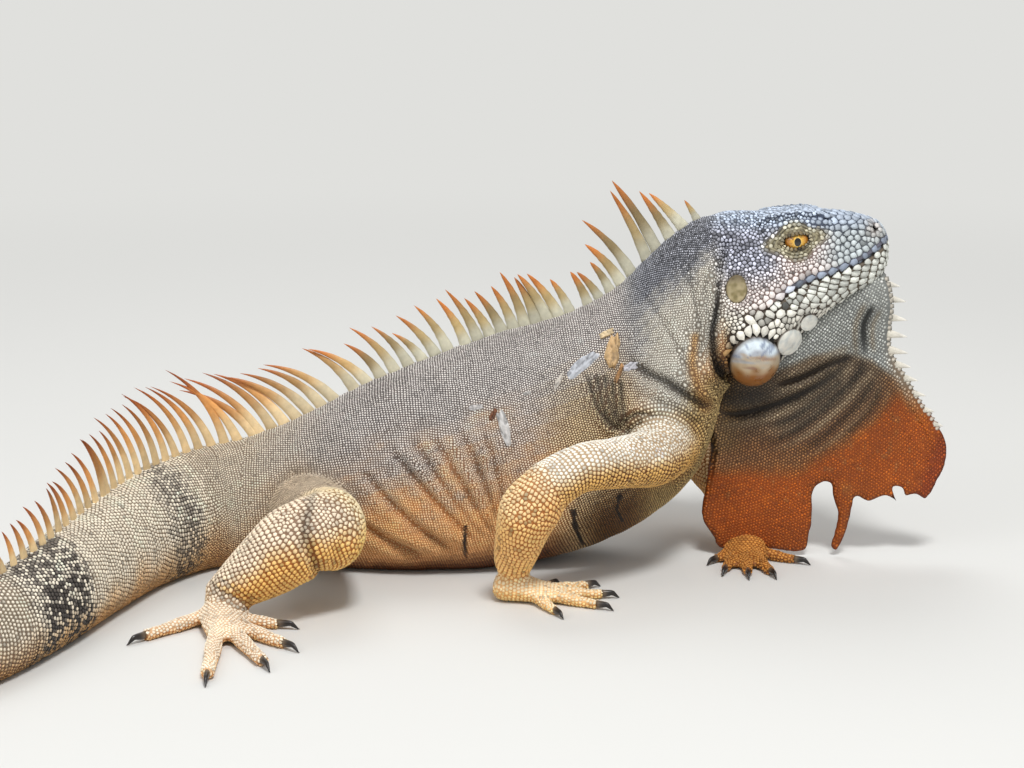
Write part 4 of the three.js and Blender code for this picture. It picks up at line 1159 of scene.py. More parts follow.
def limb_tones(points, normals, blotch):
    """The colours of each part of the limbs."""
    up = normals[:, 2]
    top = ramp(up + 0.15 * blotch, -0.35, 0.45)
    low_toes = ramp(-up + 0.2 * blotch, -0.3, 0.5)
    tones = {part: blend(first, low_toes if part == "foot" else top, *second)
             for part, (first, second) in LIMB_TONES.items()}
    # painted shade over the whole left hand
    tones["hand"] = blend(tones["hand"], ramp(points[:, 1], -53, -49), *SHADED_LEFT_HAND_TONES)
    inner = ramp(np.abs(points[:, 1]) + 3 * blotch, 104, 84)
    tones["thigh"] = blend(tones["thigh"], inner, *INNER_THIGH_TONES)
    return tones


def crease_shade(points):
    """How much painted shade darkens the folds, the cheek fold and the shoulder hollow of the skin, from 0 to
    1.
    """
    dark = np.zeros(len(points))
    ragged = np.clip(0.85 + 0.4 * noise(points, 13, 15), 0.4, 1.2)
    for lines, _, (width, strength, start) in FOLDS:
        for line in lines:
            far, share = line_distance(points, line)
            fade = ramp(share, 0, start) * ramp(-share, -1, -0.88)
            dark = np.maximum(dark, strength * ragged * bell(far / (width * ragged)) * fade)
    far, share = line_distance(points, CHEEK_FOLD)
    wide = 1.2 + 1.8 * ramp(share, 0.25, 0.7)
    dark = np.maximum(dark, 0.85 * bell(far / wide) * ramp(share, 0.1, 0.4))
    dark = np.maximum(dark, lump(points, HOLLOW, [6, 4], 0.5))
    return dark * ramp(np.abs(points[:, 1]), 8, 16)


def paint(points, normals, shares, place, around):
    """The colours at points, markings with painted shade in the folds: that of the scales and that of the
    skin between them.
    """
    low = np.abs(around) * 2
    blotch = noise(points, 14, 1)
    fine = noise(points, 3.5, 2)
    tones = {
        "body": body_tones(points, place, low, blotch),
        "tail": tail_tones(points, place, low, blotch, noise(points, 2.2, 3)),
        "head": head_tones(points, blotch),
        **limb_tones(points, normals, blotch),
    }
    # painted shade in the folds of the trunk, neck, cheek and hind legs, darkening the scales and the skin
    # between them
    crease = crease_shade(points) * share_of(shares, "body", "head")
    leg = outer_leg(points, shares)
    for line, width in LEG_FOLDS:
        crease = np.maximum(crease, 0.34 * bell(line_distance(points, line)[0] / width) * leg)
    both = []
    for which, strength in ((0, 0.75), (1, 0.9)):
        colors = sum(shares[:, [number]] * tones[group][which] for number, group in enumerate(GROUPS))
        shade = (1 + 0.05 * blotch + 0.05 * fine) * (1 - crease * strength)
        both.append(np.clip(colors * shade[:, None], 0, 255))
    return both


# ------------------------------------------------------------------ scales
NEIGHBOURS = 8  # how many scales round it can limit a scale


def neighbours(points):
    """The numbers of the nearest points to each point."""
    tree = tree_of(points)
    found = np.zeros((len(points), NEIGHBOURS), int)
    for i, p in enumerate(points.tolist()):
        found[i] = [h[1] for h in tree.find_n(p, NEIGHBOURS + 1) if h[1] != i][:NEIGHBOURS]
    return found


FULL_REACH = 0.85  # how far a scale reaches where no other is near, in sizes
# by the levels of a tile: how deep its edge is sunk, and how much its edge is of the light colour
EDGE_DEPTH, EDGE_LIGHT = {1: 0.07, 2: 0.3}, {1: 0.58, 2: 0.1}
SHOULDER_LIGHT = 0.9
UV_PATCH = 0.0015  # the radius of a scale on the unwrap


class Tiles:
    """Scales as domed tiles that share out the skin between them, one or two levels of faces high."""

    def __init__(self, at, normal, lie, size, height, tilt, offsets, corners=6, levels=1, gap=0.94):
        lie = unit(lie - normal * np.einsum("ij,ij->i", lie, normal)[:, None])
        across = np.cross(normal, lie)
        turn = turns(corners)
        self.way = np.stack([np.cos(turn), np.sin(turn)], -1)
        self.count, self.corners, self.levels = len(at), corners, levels
        flat = np.stack([np.einsum("nmk,nk->nm", offsets, v) for v in (lie, across)], -1)
        reach = self.reach_of(flat, size)
        wide = reach.mean(1)[:, None]
        shoulder = 0.8
        if corners > 6:
            shoulder = np.clip(1 - 0.22 / wide, 0.8, 0.93)
            gap = np.clip(1 - 0.07 / wide, gap, 0.98)
        reach = reach * gap
        spokes = lie[:, None] * self.way[:, 0, None] + across[:, None] * self.way[:, 1, None]

        def ring(share, level):
            return at[:, None] + spokes * (reach * share)[..., None] + normal[:, None] * level[..., None]

        layers = [ring(1.0, np.full_like(reach, -EDGE_DEPTH[levels]))]
        if levels == 2:
            layers.append(ring(shoulder, height[:, None] * (1 + tilt * np.cos(turn)) * 0.8))
        apex = at + normal * height[:, None] + lie * (size * 0.12 * tilt)[:, None]
        self.points = np.concatenate([*layers, apex[:, None]], 1)
        self.points[..., 2] = np.maximum(self.points[..., 2], 0.0)

    def reach_of(self, flat, size):
        """How far each tile reaches towards its corners: half way to the neighbours it faces there."""
        far = np.linalg.norm(flat, axis=2)
        facing = np.einsum("nmk,ck->nmc", flat / np.maximum(far, 1e-6)[..., None], self.way)
        reach = np.where(facing > 0.2, far[..., None] / 2 / np.maximum(facing, 0.2), np.inf).min(1)
        return np.minimum(reach, FULL_REACH * size[:, None])

    def faces(self):
        """The triangles of one tile: its top, its sides and its underside."""
        corners = self.corners
        j = np.arange(corners)
        k = (j + 1) % corners
        last = (self.levels - 1) * corners
        tris = [np.stack([last + j, last + k, np.full(corners, last + corners)], -1)]
        if self.levels == 2:
            tris += [np.stack([j, k, k + corners], -1), np.stack([j, k + corners, j + corners], -1)]
        tris.append(np.stack([np.zeros(corners - 2, int), j[2:], j[1:-1]], -1))
        return np.concatenate(tris)

    def build(self, name, light, dark, root_uv):
        """The tiles as an object: each is light in the middle and darker round its edge."""
        per = self.points.shape[1]
        faces = (np.arange(self.count)[:, None, None] * per + self.faces()).reshape(-1, 3)
        upper = np.full(self.corners * (self.levels - 1), SHOULDER_LIGHT)
        share = np.concatenate([np.full(self.corners, EDGE_LIGHT[self.levels]), upper, [1.0]])[None, :, None]
        colors = to_linear(dark)[:, None] * (1 - share) + to_linear(light)[:, None] * share
        uv = root_uv[:, None] + np.concatenate([self.way] * self.levels + [np.zeros((1, 2))]) * UV_PATCH
        points = self.points.reshape(-1, 3)
        return make_object(name, points, [faces], colors.reshape(-1, 3), uv.reshape(-1, 2))


def make_skin():
    """The fused skin, sculpted and sunk inside the solids by the depth of the scales."""
    rough = Surface(*fused_skin())
    fillet(rough)
    points, quads = refine(rough.points, rough.quads, lambda p: (p[:, 0] > 150) & (p[:, 2] > 88))
    points, quads = refine(points, quads, near_face)
    made = Skin(points, quads)
    made.even(3)
    made.shares = group_shares(made)
    made.place, made.around = body_place.find(made.points)
    body, tail, head = (share_of(made.shares, group) for group in ("body", "tail", "head"))
    rise = head_relief(made.points)
    rise += body_relief(made.points, made.place) * (body + 0.3 * head)
    rise += tail_relief(made.place) * tail
    rise += limb_relief(made.points, made.shares)
    made.points = made.points + made.normals() * (rise - DEPTH)[:, None]
    shape_lids(made)
    made.settle()
    return made


# ------------------------------------------------------------------ where each scale sits
def bare(points):
    """Where no scale may sit: the eyes, ear drums, shields, nostrils and between the lips."""
    side = np.abs(points[:, 1])
    inside = (ear_distance(points) < EAR_SIZE + 0.4) & (side > 8)
    for shield in SHIELDS:
        inside |= (on_shield(points, shield) < 1.05) & (side > 6)
    for which in (RIGHT, LEFT):
        inside |= (eye_frame(points, which)[2] < 1.12) & (points[:, 1] * which > 8)
    inside |= (flat_distance(points, NOSTRIL) < 2.1) & (side > 3)
    inside |= (line_distance(points, MOUTH_LINE)[0] < 0.6) & (points[:, 0] > 180)
    return inside & (points[:, 0] > 145)


def shifted(line, up):
    """A side line moved square to itself, up being towards the top of the head."""
    fine = course(line, np.linspace(0, 1, 40))
    way = unit(np.gradient(fine, axis=0))
    out = np.column_stack([-way[:, 1], way[:, 0]])
    out = out * np.sign(out[:, 1:])
    return fine + out * up


def along_line(line, spacing):
    """Places a spacing apart along a line of [x, z] points, and the way it runs there."""
    line = np.asarray(line, float)
    run = run_along(line)
    count = max(int(run[-1] / spacing), 1)
    at = run[-1] * ((np.arange(count) + 0.5) / count)
    place = points_at(line, run, at)
    return place, unit(points_at(line, run, at + 0.3) - place + 1e-9)


def between(top, bottom, share):
    """A line part of the way from one side line to another."""
    t = np.linspace(0, 1, 40)
    return course(top, t) * (1 - share) + course(bottom, t) * share


def head_lines():
    """The rows of larger or finer scales of the head: line, spacing, size, height and reach of a scale."""
    great, second, third = (shield[1] for shield in SHIELDS)
    ear_row = [[205, 140.6], [193, 139.8], [182, 140.2], [171, 137]]
    snout_edge = [[212, 187], [224, 186.5], [236, 186]]
    brow = [[184, 184], [199, 187.4], [212, 186.8]]
    rows = [
        (circle(great, 16.9, 0.7, 3.0, squash=1.12), 4.4, 5.4, 0.7, 2.9),
        (course(ear_row, np.linspace(0, 1, 30)), 5.6, 6.2, 0.75, 2.9),
    ]
    rows += [(between(MOUTH_LINE[:6], JAW_LINE, share), 5.9 - 0.6 * share, 6.0, 0.6, 2.2)
             for share in (0.1, 0.28, 0.46, 0.64, 0.82, 1.0)]
    rows += [
        (shifted(MOUTH_LINE, 2.1), 6.2, 6.4, 0.5, 2.4),
        (shifted(MOUTH_LINE, 5.4), 3.6, 3.6, 0.45, 2.2),
        (shifted(MOUTH_LINE[:5], 8.4), 3.2, 3.2, 0.4, 2.0),
        (circle(great, 15.8, 3.1, 5.2, squash=1.12), 2.3, 2.4, 0.4, 1.5),
        (circle(second, 9.4, 5.2, 6.4, squash=1.08), 2.4, 2.6, 0.45, 1.6),
        (circle(third, 6.9, -0.9, 1.6), 2.4, 2.6, 0.45, 1.6),
        (circle(EAR_AT, 6.9, squash=EAR_TALL), 1.6, 1.7, 0.3, 1.1),
        (circle(NOSTRIL, 3.3), 2.2, 2.5, 0.7, 1.4),
        (course(snout_edge, np.linspace(0, 1, 20)), 4.2, 4.4, 0.55, 2.6),
        (course(brow, np.linspace(0, 1, 20)), 2.8, 3.0, 0.45, 1.8),
    ]
    middle = EYE[[0, 2]] + [0, LID_RISE]
    for size in (1.22, 1.44, 1.72, 2.08, 2.5):
        line = circle(middle, LID[0] * size, squash=LID[1] * (0.86 + 0.05 * size) / LID[0], tilt=EYE_TILT)
        rows.append((line, 1.3 + 0.6 * size, 1.5 + 0.6 * size, 0.14, 0.8))
    return rows


def on_cheek(places, side):
    """The points of the skin beside [x, z] places, seen from that side."""
    made = []
    for x, z in places:
        hit = skin.tree.ray_cast((x, side * 80, z), (0, -side, 0))
        made.append(hit[0] if hit[0] is not None and abs(hit[0].y) > 1 else (np.nan,) * 3)
    return np.array(made, float)


def on_both_cheeks(line, spacing, inner=0.0):
    """Places a spacing apart along a line and their lie, on each side of the skin beyond y = inner."""
    places, way = along_line(line, spacing)
    for side in (RIGHT, LEFT):
        at = on_cheek(places, side)
        good = ~np.isnan(at[:, 0]) & (np.abs(at[:, 1]) > inner)
        yield at[good], upright(way)[good]


def head_unwrap(points):
    return 256 - points[:, 0], np.arctan2(points[:, 1], points[:, 2] - 150) * 28


def head_seeds():
    """The ordered rows of the head."""
    made = []
    for line, spacing, size, height, reach in head_lines():
        for at, lie in on_both_cheeks(line, spacing):
            same = np.ones(len(at))
            made.append(np.column_stack([at, lie, same * size, same * HEAD_FORM, *head_unwrap(at),
                                         same * height, same * reach]))
    return np.concatenate(made)


def head_size(points):
    """How far apart the loose scales of the head are."""
    x, z = points[:, 0], points[:, 2]
    side = np.abs(points[:, 1])
    size = 1.6 + 0.25 * noise(points, 9, 21) + 0.2 * noise(points, 3, 22)
    size = size + 1.7 * ramp(x, 206, 228) * ramp(z, 150, 160)
    size = size + 0.7 * ramp(z, 182, 188) * ramp(x, 178, 205)
    size = size + 1.2 * ramp(side, 6, 12) * ramp(x, 168, 184) * ramp(-z, -150, -140) * ramp(z, 124, 132)
    fine = ramp(-flat_distance(points, EYE[[0, 2]]), -19, -11) * ramp(side, 6, 10)
    size = size * (1 - 0.38 * fine)
    under = ramp(-side, -12, -6) * ramp(-z, -165, -150)
    return size * (1 - 0.2 * under)


def random_points(count, quads):
    """Places spread evenly by area over some faces of the skin."""
    a, b, c, d = (skin.points[quads[:, k]] for k in range(4))
    area = np.linalg.norm(np.cross(c - a, d - b), axis=1)
    area += 0.5 * (quads[:, 2] == quads[:, 3]) * np.linalg.norm(np.cross(b - a, c - a), axis=1)
    face = random.choice(len(quads), count, p=area / area.sum())
    u, v = random.random((2, count, 1))
    flat = (quads[face, 2] == quads[face, 3])[:, None]
    fold = flat & (u + v > 1)
    u, v = np.where(fold, 1 - u, u), np.where(fold, 1 - v, v)
    a, b, c, d = (corner[face] for corner in (a, b, c, d))
    in_triangle = a + (b - a) * u + (c - a) * v
    return np.where(flat, in_triangle, (a * (1 - u) + b * u) * (1 - v) + (d * (1 - u) + c * u) * v)


def spread(points, reach, forced=0):
    """Picks points, first come first kept, so that none lies within the reach of an earlier one."""
    tree = tree_of(points)
    free = np.ones(len(points), bool)
    kept = []
    for i, p in enumerate(points.tolist()):
        if free[i] or i < forced:
            kept.append(i)
            for _, k, _ in tree.find_range(p, reach[i]):
                free[k] = False
    return np.array(kept)


def borrow(points, seeds):
    """Seeds for loose points that take their lie, form and unwrap from the nearest of these."""
    near = seeds[nearest(tree_of(seeds[:, :3]), points)].copy()
    lie = unit(near[:, 3:6])
    offset = points - near[:, :3]
    ahead = np.einsum("ij,ij->i", offset, lie)
    near[:, ALONG] += ahead
    near[:, ROUND] += np.linalg.norm(offset - ahead[:, None] * lie, axis=1) * 0.7
    near[:, :3] = points
    return near


def shoulder_seeds(rows):
    """Rows of larger scales in arcs round the shoulder, with the unwrap of the nearest scale of the trunk."""
    trunk = rows[rows[:, FORM] == 0]
    made = []
    for radius in np.arange(9, 30, 1.85):
        arc = circle(SHOULDER_AT, radius, np.radians(-35 - radius), np.radians(196 - 3 * radius), squash=1.08)
        for at, lie in on_both_cheeks(arc, 1.9, inner=12):
            row = borrow(at, trunk)
            row[:, 3:6] = lie
            row[:, SIZE], row[:, HEIGHT] = 2.0, 0.5
            made.append(row)
    return np.concatenate(made)


def neck_tubercles(rows):
    """Some of the row seeds of the neck made into larger cones."""
    place, around = -rows[:, ALONG] + NECK_FRONT, np.abs(rows[:, ROUND])
    neck = (rows[:, FORM] == 0) & (place > 112) & (place < 160) & (around > 8) & (around < 84)
    at = rows[neck]
    at = at[random.permutation(len(at))]
    kept = at[spread(at[:, :3], 4.2 + 2.4 * random.random(len(at)))].copy()
    kept[:, SIZE] = 2.5 + 0.9 * random.random(len(kept))
    kept[:, HEIGHT] = 0.85
    return kept


def row_seeds():
    """The scales in rows on the trunk, tail and limbs, dropped onto the skin."""
    rows = np.concatenate([form_rows(form, number) for number, form in enumerate(FORMS)])
    size = rows[:, SIZE:SIZE + 1]
    wander = np.stack([noise(rows[:, :3], 9, seed) for seed in (91, 92, 93)], -1)
    rows[:, :3] += wander * (0.45 * size) + random.normal(0, 0.05, (len(rows), 3)) * size
    at, _, far, hold = skin.drop(rows[:, :3])
    head = share_of(skin.share(skin.shares, hold), "head")
    good = (far < 2.4) & (head < 0.5) & ~bare(at) & (at[:, 0] > TAIL_LAST)
    rows = rows[good]
    rows[:, :3] = at[good]
    return np.column_stack([rows, rows[:, SIZE] * np.where(rows[:, FORM] >= FIRST_LIMB, 0.2, 0.22)])


LOOSE_ON_HEAD, LOOSE_ELSEWHERE = 90000, 260000


def loose_seeds(seeds):
    """Many places for loose scales: over the head, and between the rows elsewhere, to be thinned out."""
    on_head = share_of(skin.shares[skin.quads].mean(1), "head") >= 0.35
    loose = random_points(LOOSE_ON_HEAD, skin.quads[on_head])
    size = head_size(loose)
    same = np.ones(len(loose))
    lie = np.column_stack([-same, same * 0, -0.25 * same])
    loose = np.column_stack([loose, lie, size * 1.12, same * HEAD_FORM, *head_unwrap(loose), size * 0.23])
    fill = random_points(LOOSE_ELSEWHERE, skin.quads[~on_head])
    more = np.concatenate([loose, borrow(fill, seeds[seeds[:, FORM] != HEAD_FORM])])
    return more[~bare(more[:, :3]) & (more[:, 0] > TAIL_LAST)]


def gather_seeds():
    """Every scale with its normal and its hold on the skin: ordered rows first, then loose scales between."""
    rows = row_seeds()
    special = head_seeds()
    special = special[~bare(special[:, :3])]
    bumps = neck_tubercles(rows)
    cap = shoulder_seeds(rows)
    seeds = np.concatenate([special[:, :REACH], cap, bumps, rows])
    crowd = np.where(rows[:, FORM] < FIRST_LIMB, 0.62, 0.7)
    reach = np.concatenate([special[:, REACH], cap[:, SIZE] * 0.7, bumps[:, SIZE] * 0.75,
                            rows[:, SIZE] * crowd])
    seeds = seeds[spread(seeds[:, :3], reach)]
    more = loose_seeds(seeds)
    both = np.concatenate([seeds, more])
    block = np.where(seeds[:, FORM] == HEAD_FORM, 0.62, 0.74)
    reach = np.concatenate([seeds[:, SIZE] * block, more[:, SIZE] * 0.8])
    both = both[spread(both[:, :3], reach, len(seeds))]
    both[:, :3], normal, _, hold = skin.drop(both[:, :3])
    return both, normal, hold


# ------------------------------------------------------------------ the coat
def pack_forms(seeds):
    """Where the roots of scales lie on the unwraps of their forms, packed in the unit square."""
    uv = np.zeros((len(seeds), 2))
    boxes = []
    for form in np.unique(seeds[:, FORM]):
        mine = seeds[:, FORM] == form
        flat = seeds[mine][:, [ROUND, ALONG]]
        uv[mine] = flat - flat.min(0)
        boxes.append((form, *(np.ptp(flat, axis=0) + 3)))
    boxes.sort(key=lambda box: -box[2])
    wide = max(np.sqrt(sum(w * h for _, w, h in boxes)) * 1.15, max(w for _, w, _ in boxes))
    x = y = tall = 0.0
    for form, w, h in boxes:
        if x + w > wide + 1e-6:
            x, y, tall = 0.0, y + tall, 0.0
        uv[seeds[:, FORM] == form] += [x, y]
        x, tall = x + w, max(tall, h)
    return 0.01 + uv * 0.98 / max(wide, y + tall)


# the parts whose scales are too many for a second layer of faces
FINE_COAT = ("tail_end", "chest", "belly")
TAIL_SPLIT = 195  # where the coat of the tail is cut in two, by distance along its form


def region_of(seeds):
    """The coat piece that each scale belongs to."""
    groups = np.array([form.group for form in FORMS] + ["head"])[seeds[:, FORM].astype(int)]
    part = groups.astype(object)
    body, tail = groups == "body", groups == "tail"
    part[body] = np.where(seeds[body, ALONG] < np.median(seeds[body, ALONG]), "chest", "belly")
    part[np.isin(groups, ("arm", "forearm", "hand"))] = "arm"
    part[np.isin(groups, ("thigh", "shank", "foot"))] = "leg"
    root = tail & (seeds[:, ALONG] + 16 * noise(seeds[:, :3], 1.3, 95) < 22)
    part[root] = "belly"
    side = np.where(seeds[:, 1] > 0, "left", "right")
    made = np.array([f"scales_{p}_{s}" for p, s in zip(part, side)], object)
    rest = tail & ~root
    made[rest] = np.where(seeds[rest, ALONG] < TAIL_SPLIT, "scales_tail_base", "scales_tail_end")
    return made


def speckled(points, place):
    """Where neighbouring scales differ most in lightness: the temple, the nape and the top of the neck."""
    nape = ramp(points[:, 2] + 0.5 * (points[:, 0] - 150), 140, 165) * ramp(place, 116, 132)
    return nape * ramp(-points[:, 0], -212, -196)


def make_coat():
    """The scales of the body as pieces, one for each region."""
    seeds, normal, hold = gather_seeds()
    at = seeds[:, :3]
    place, around = body_place.find(at)
    light, dark = paint(at, normal, skin.share(skin.shares, hold), place, around)
    speckle = 0.06 + 0.14 * speckled(at, place)
    shade = 1 + random.normal(0, 1, len(seeds)) * speckle - 0.2 * (random.random(len(seeds)) < 0.04)
    light = light * np.clip(shade, 0.4, 255 / np.maximum(light.max(1), 1))[:, None]
    near = neighbours(at)
    offsets = at[near] - at[:, None]
    normal = unit(normal + 1.5 * unit(normal[near].mean(1)))
    region = region_of(seeds)
    made = []
    for name in sorted(set(region)):
        chosen = np.flatnonzero(region == name)
        mine = seeds[chosen]
        tiles = Tiles(mine[:, :3], normal[chosen], mine[:, 3:6], mine[:, SIZE], mine[:, HEIGHT], 0.35,
                      offsets[chosen], corners=8 if "head" in name else 6,
                      levels=1 if any(part in name for part in FINE_COAT) else 2)
        made.append(tiles.build(name, light[chosen], dark[chosen], pack_forms(mine)))
    return made


# ------------------------------------------------------------------ the throat fan
# x, height where the orange begins; x, height where the pale throat ends
FAN_ORANGE = ([150, 205, 217, 245, 260, 290], [51, 52, 56, 75, 89, 100])
FAN_PALE = ([150, 180, 190, 212, 230, 244, 256, 262, 290], [150, 108, 105, 114, 113, 110, 101, 95, 84])
# line, width, and darkness of the painted shade along it
FAN_FOLDS = [
    ([[241, 111], [236.5, 102], [225, 89.5], [211.7, 76.8], [198, 68], [182, 63]], 1.7, 0.5),
    ([[234.5, 110], [217.4, 97.3], [198, 87.7], [182, 82.8], [169.6, 81.7], [159, 83.6]], 1.9, 0.65),
    ([[246, 102], [239, 88], [227, 75], [215.5, 65], [204, 59]], 1.6, 0.45),
    ([[232, 102], [217, 89.5], [200, 77], [185, 73]], 1.6, 0.5),
    ([[236, 112], [222, 108], [206, 101], [190, 97]], 1.8, 0.5),
    ([[243, 142], [238.5, 131], [239, 120], [241, 110]], 1.4, 0.55),
    ([[250, 98], [246, 86], [237, 74], [228, 66]], 1.5, 0.3),
]
FAN_TONES = {
    "base": ((136, 118, 94), (50, 35, 22)),
    "brown": ((168, 114, 64), (72, 40, 18)),
    "rear": ((138, 108, 66), (56, 38, 16)),
    "orange": ((176, 92, 22), (126, 54, 4)),
    "mottle": ((196, 110, 30), (148, 68, 8)),
    "grey": ((168, 136, 108), (110, 74, 48)),
    "red edge": ((150, 66, 24), (104, 34, 6)),
    "pale": ((204, 206, 200), (92, 94, 92)),
    "pale edge": ((212, 200, 182), (110, 84, 60)),
    # painted light on the swell beside each fold of the fan
    "ridge": ((196, 180, 152), (96, 76, 54)),
}
FAN_STEP = 1.5  # between the points of the fan's mesh


def edge_distance(flat, line):
    """How far [x, z] places are from a closed line."""
    return chain_distance(flat, np.vstack([line, line[:1]]))[0]


def within(flat, line):
    """Which [x, z] places lie inside a closed line."""
    inside = np.zeros(len(flat), bool)
    for a, b in zip(line, np.roll(line, -1, axis=0)):
        crosses = (a[1] > flat[:, 1]) != (b[1] > flat[:, 1])
        with np.errstate(divide="ignore", invalid="ignore"):
            x = a[0] + (flat[:, 1] - a[1]) / (b[1] - a[1]) * (b[0] - a[0])
        inside ^= crosses & (flat[:, 0] < x)
    return inside


def inner_part(flat, line, margin):
    """The [x, z] places inside a closed line by more than a margin."""
    flat = flat[within(flat, line)]
    return flat[edge_distance(flat, line) > margin]


def fan_outline():
    """The edge of the fan, just inside that of the solid and a little ragged."""
    closed = course(np.vstack([FAN_EDGE, FAN_EDGE[:1]]), np.linspace(0, 1, 1400))
    run = run_along(closed)
    line = points_at(closed, run, np.linspace(0, run[-1], 620, endpoint=False))
    way = unit(np.roll(line, -1, axis=0) - np.roll(line, 1, axis=0))
    inward = np.column_stack([-way[:, 1], way[:, 0]])
    wobble = 0.3 * noise(upright(line), 2.2, 31) + 0.35 * noise(upright(line), 5, 32)
    return line + inward * (0.75 + wobble)[:, None]


def fan_surface(flat, side, edge):
    """The y of one face of the fan at [x, z] places."""
    far, share = chain_distance(flat, FAN_ROOT)
    points = upright(flat)
    solid = FAN_EDGE_HALF + FAN_ROOT_HALF * bell(far / FAN_FADE)
    thin = ramp(edge, 0, 3.0)
    half = 0.12 + (solid - 0.75) * thin
    folds = sum(furrow(points, line, width, 1.0, 0.55) for line, width, _ in FAN_FOLDS)
    deep = np.clip((solid - 0.9) * 1.1, 0.4, 3.4)
    pleat = np.sin(share * 30 + 0.05 * far + 1.6 * noise(points, 30, 34)) * ramp(far, 34, 60)
    wave = 0.3 * pleat * ramp(edge, 1, 8) + 0.22 * noise(points, 9, 35) * thin
    bend = folds * np.minimum(deep, 0.4) * thin
    return side * (half + folds * np.maximum(deep - 0.4, 0) * thin) + wave + bend


def fan_colors(flat):
    """The colours of the fan: grey above, orange below, with painted shade in its folds and its upper rear
    hollow and painted light beside the folds.
    """
    x, z = flat.T
    points = upright(flat)
    blotch = noise(points, 13, 36)
    rim = np.interp(x, *FAN_ORANGE)
    tone = FAN_TONES["base"]
    tone = blend(tone, bell((z - rim - 8) / 12) * 0.8, *FAN_TONES["brown"])
    tone = blend(tone, ramp(-x, -180, -166) * ramp(z, 56, 64) * 0.8, *FAN_TONES["rear"])
    orange = ramp(-(z - rim + 4 * blotch), -7, 8)
    tone = blend(tone, orange, *FAN_TONES["orange"])
    mottle = ramp(noise(points, 6, 38) + 0.5 * noise(points, 2.4, 39), 0.1, 0.8) * orange
    tone = blend(tone, mottle * 0.6, *FAN_TONES["mottle"])
    grey = ramp(noise(points, 3.5, 40), 0.5, 0.9) * orange * ramp(z, 22, 34)
    tone = blend(tone, grey * 0.35, *FAN_TONES["grey"])
    red = ramp(x - 0.35 * (z - 60), 274, 284) * orange
    tone = blend(tone, red * 0.7, *FAN_TONES["red edge"])
    pale = ramp(z - np.interp(x, *FAN_PALE) + 1.5 * blotch, -3, 2.5)
    tone = blend(tone, pale, *FAN_TONES["pale"])
    front = ramp(x - np.interp(z, [60, 100, 150], [283, 262, 250]), -10, -3) * ramp(z, 74, 92)
    tone = blend(tone, front * 0.7 * ramp(-z, -122, -104), *FAN_TONES["pale edge"])
    # painted shade in the hollow of the fan's upper rear part, then along each fold
    dark = lump(points, [177, 91], [20, 7], 0.55)
    for line, width, strength in FAN_FOLDS:
        away, along = line_distance(points, line)
        fade = strength * ramp(along, 0, 0.15) * ramp(-along, -1, -0.7)
        soft = 0.5 * bell(away / width) + 0.4 * bell(away / (2.4 * width))
        dark = np.maximum(dark, soft * fade)
        # painted light along the swell beside each fold, away from the orange
        ridge = fade * bell((away - 3.4 * width) / (1.1 * width)) * (1 - orange)
        tone = blend(tone, np.clip(0.9 * ridge, 0, 1), *FAN_TONES["ridge"])
    shade = ((1 + 0.07 * blotch) * (1 - dark))[:, None]
    return tone[0] * shade, tone[1] * shade


def make_fan():
    """The skin of the fan, two faces that meet at its edge, and the line of that edge."""
    line = fan_outline()
    low, high = line.min(0), line.max(0)
    columns = np.arange(low[0], high[0], FAN_STEP)
    rows = np.arange(low[1], high[1], FAN_STEP * 0.866)
    grid = np.array([[x + FAN_STEP / 2 * (j % 2), z] for j, z in enumerate(rows) for x in columns])
    count = len(line)
    rim = [(i, (i + 1) % count) for i in range(count)]
    places = np.concatenate([line, inner_part(grid, line, 0.7)])
    found = delaunay_2d_cdt([Vector(p) for p in places.tolist()], rim, [], 1, 1e-5)
    flat = np.array([list(v) for v in found[0]])
    tris = np.array([f for f in found[2] if len(f) == 3])
    edge = edge_distance(flat, line)
    border = edge < 0.01
    left, right = (np.column_stack([flat[:, 0], fan_surface(flat, side, edge), flat[:, 1]])
                   for side in (LEFT, RIGHT))
    middle = (left + right) / 2
    left[border], right[border] = middle[border], middle[border]
    points = np.concatenate([left, right])
    own = np.arange(len(flat))
    other = np.where(border, own, own + len(flat))
    a, b, c = (flat[tris[:, k]] for k in range(3))
    turn = (b[:, 0] - a[:, 0]) * (c[:, 1] - a[:, 1]) - (b[:, 1] - a[:, 1]) * (c[:, 0] - a[:, 0])
    tris = np.where(turn[:, None] > 0, tris[:, ::-1], tris)
    faces = np.concatenate([tris, other[tris[:, ::-1]]])
    light, dark = fan_colors(points[:, [0, 2]])
    chin = ramp(points[:, 2], 118, 140) * ramp(points[:, 0], 234, 242)
    made = make_object("throat_fan_skin", points, [faces], to_linear(mix(dark, light, 0.15 + 0.2 * chin)))
    return made, line


def fan_places(line, centre):
    """Where the scales of the fan sit, as [x, z] and size, the larger ones of its front edge first."""
    arcs = []
    for row, radius in enumerate(np.arange(30, 240, 1.5)):
        count = int(2 * np.pi * radius / 1.7)
        angle = (np.arange(count) + 0.5 * (row % 2)) * 2 * np.pi / count
        arcs.append(centre + radius * np.column_stack([np.cos(angle), np.sin(angle)]))
    flat = np.concatenate(arcs)
    flat = flat + random.normal(0, 0.14, flat.shape)
    flat = flat[((flat > line.min(0)) & (flat < line.max(0))).all(1)]
    flat = inner_part(flat, line, 1.2)
    front = line[(line[:, 0] > 250) & (line[:, 1] > 70)]
    rim = along_line(front[np.argsort(front[:, 1])], 3.0)[0] - [1.6, 0]
    fine = noise(np.column_stack([flat, edge_distance(flat, line)]), 15, 37)
    size = np.concatenate([np.full(len(rim), 3.2), 1.65 + 0.2 * fine])
    both = np.concatenate([rim, flat])
    kept = spread(upright(both), size * 0.66)
    return both[kept], size[kept], kept < len(rim)


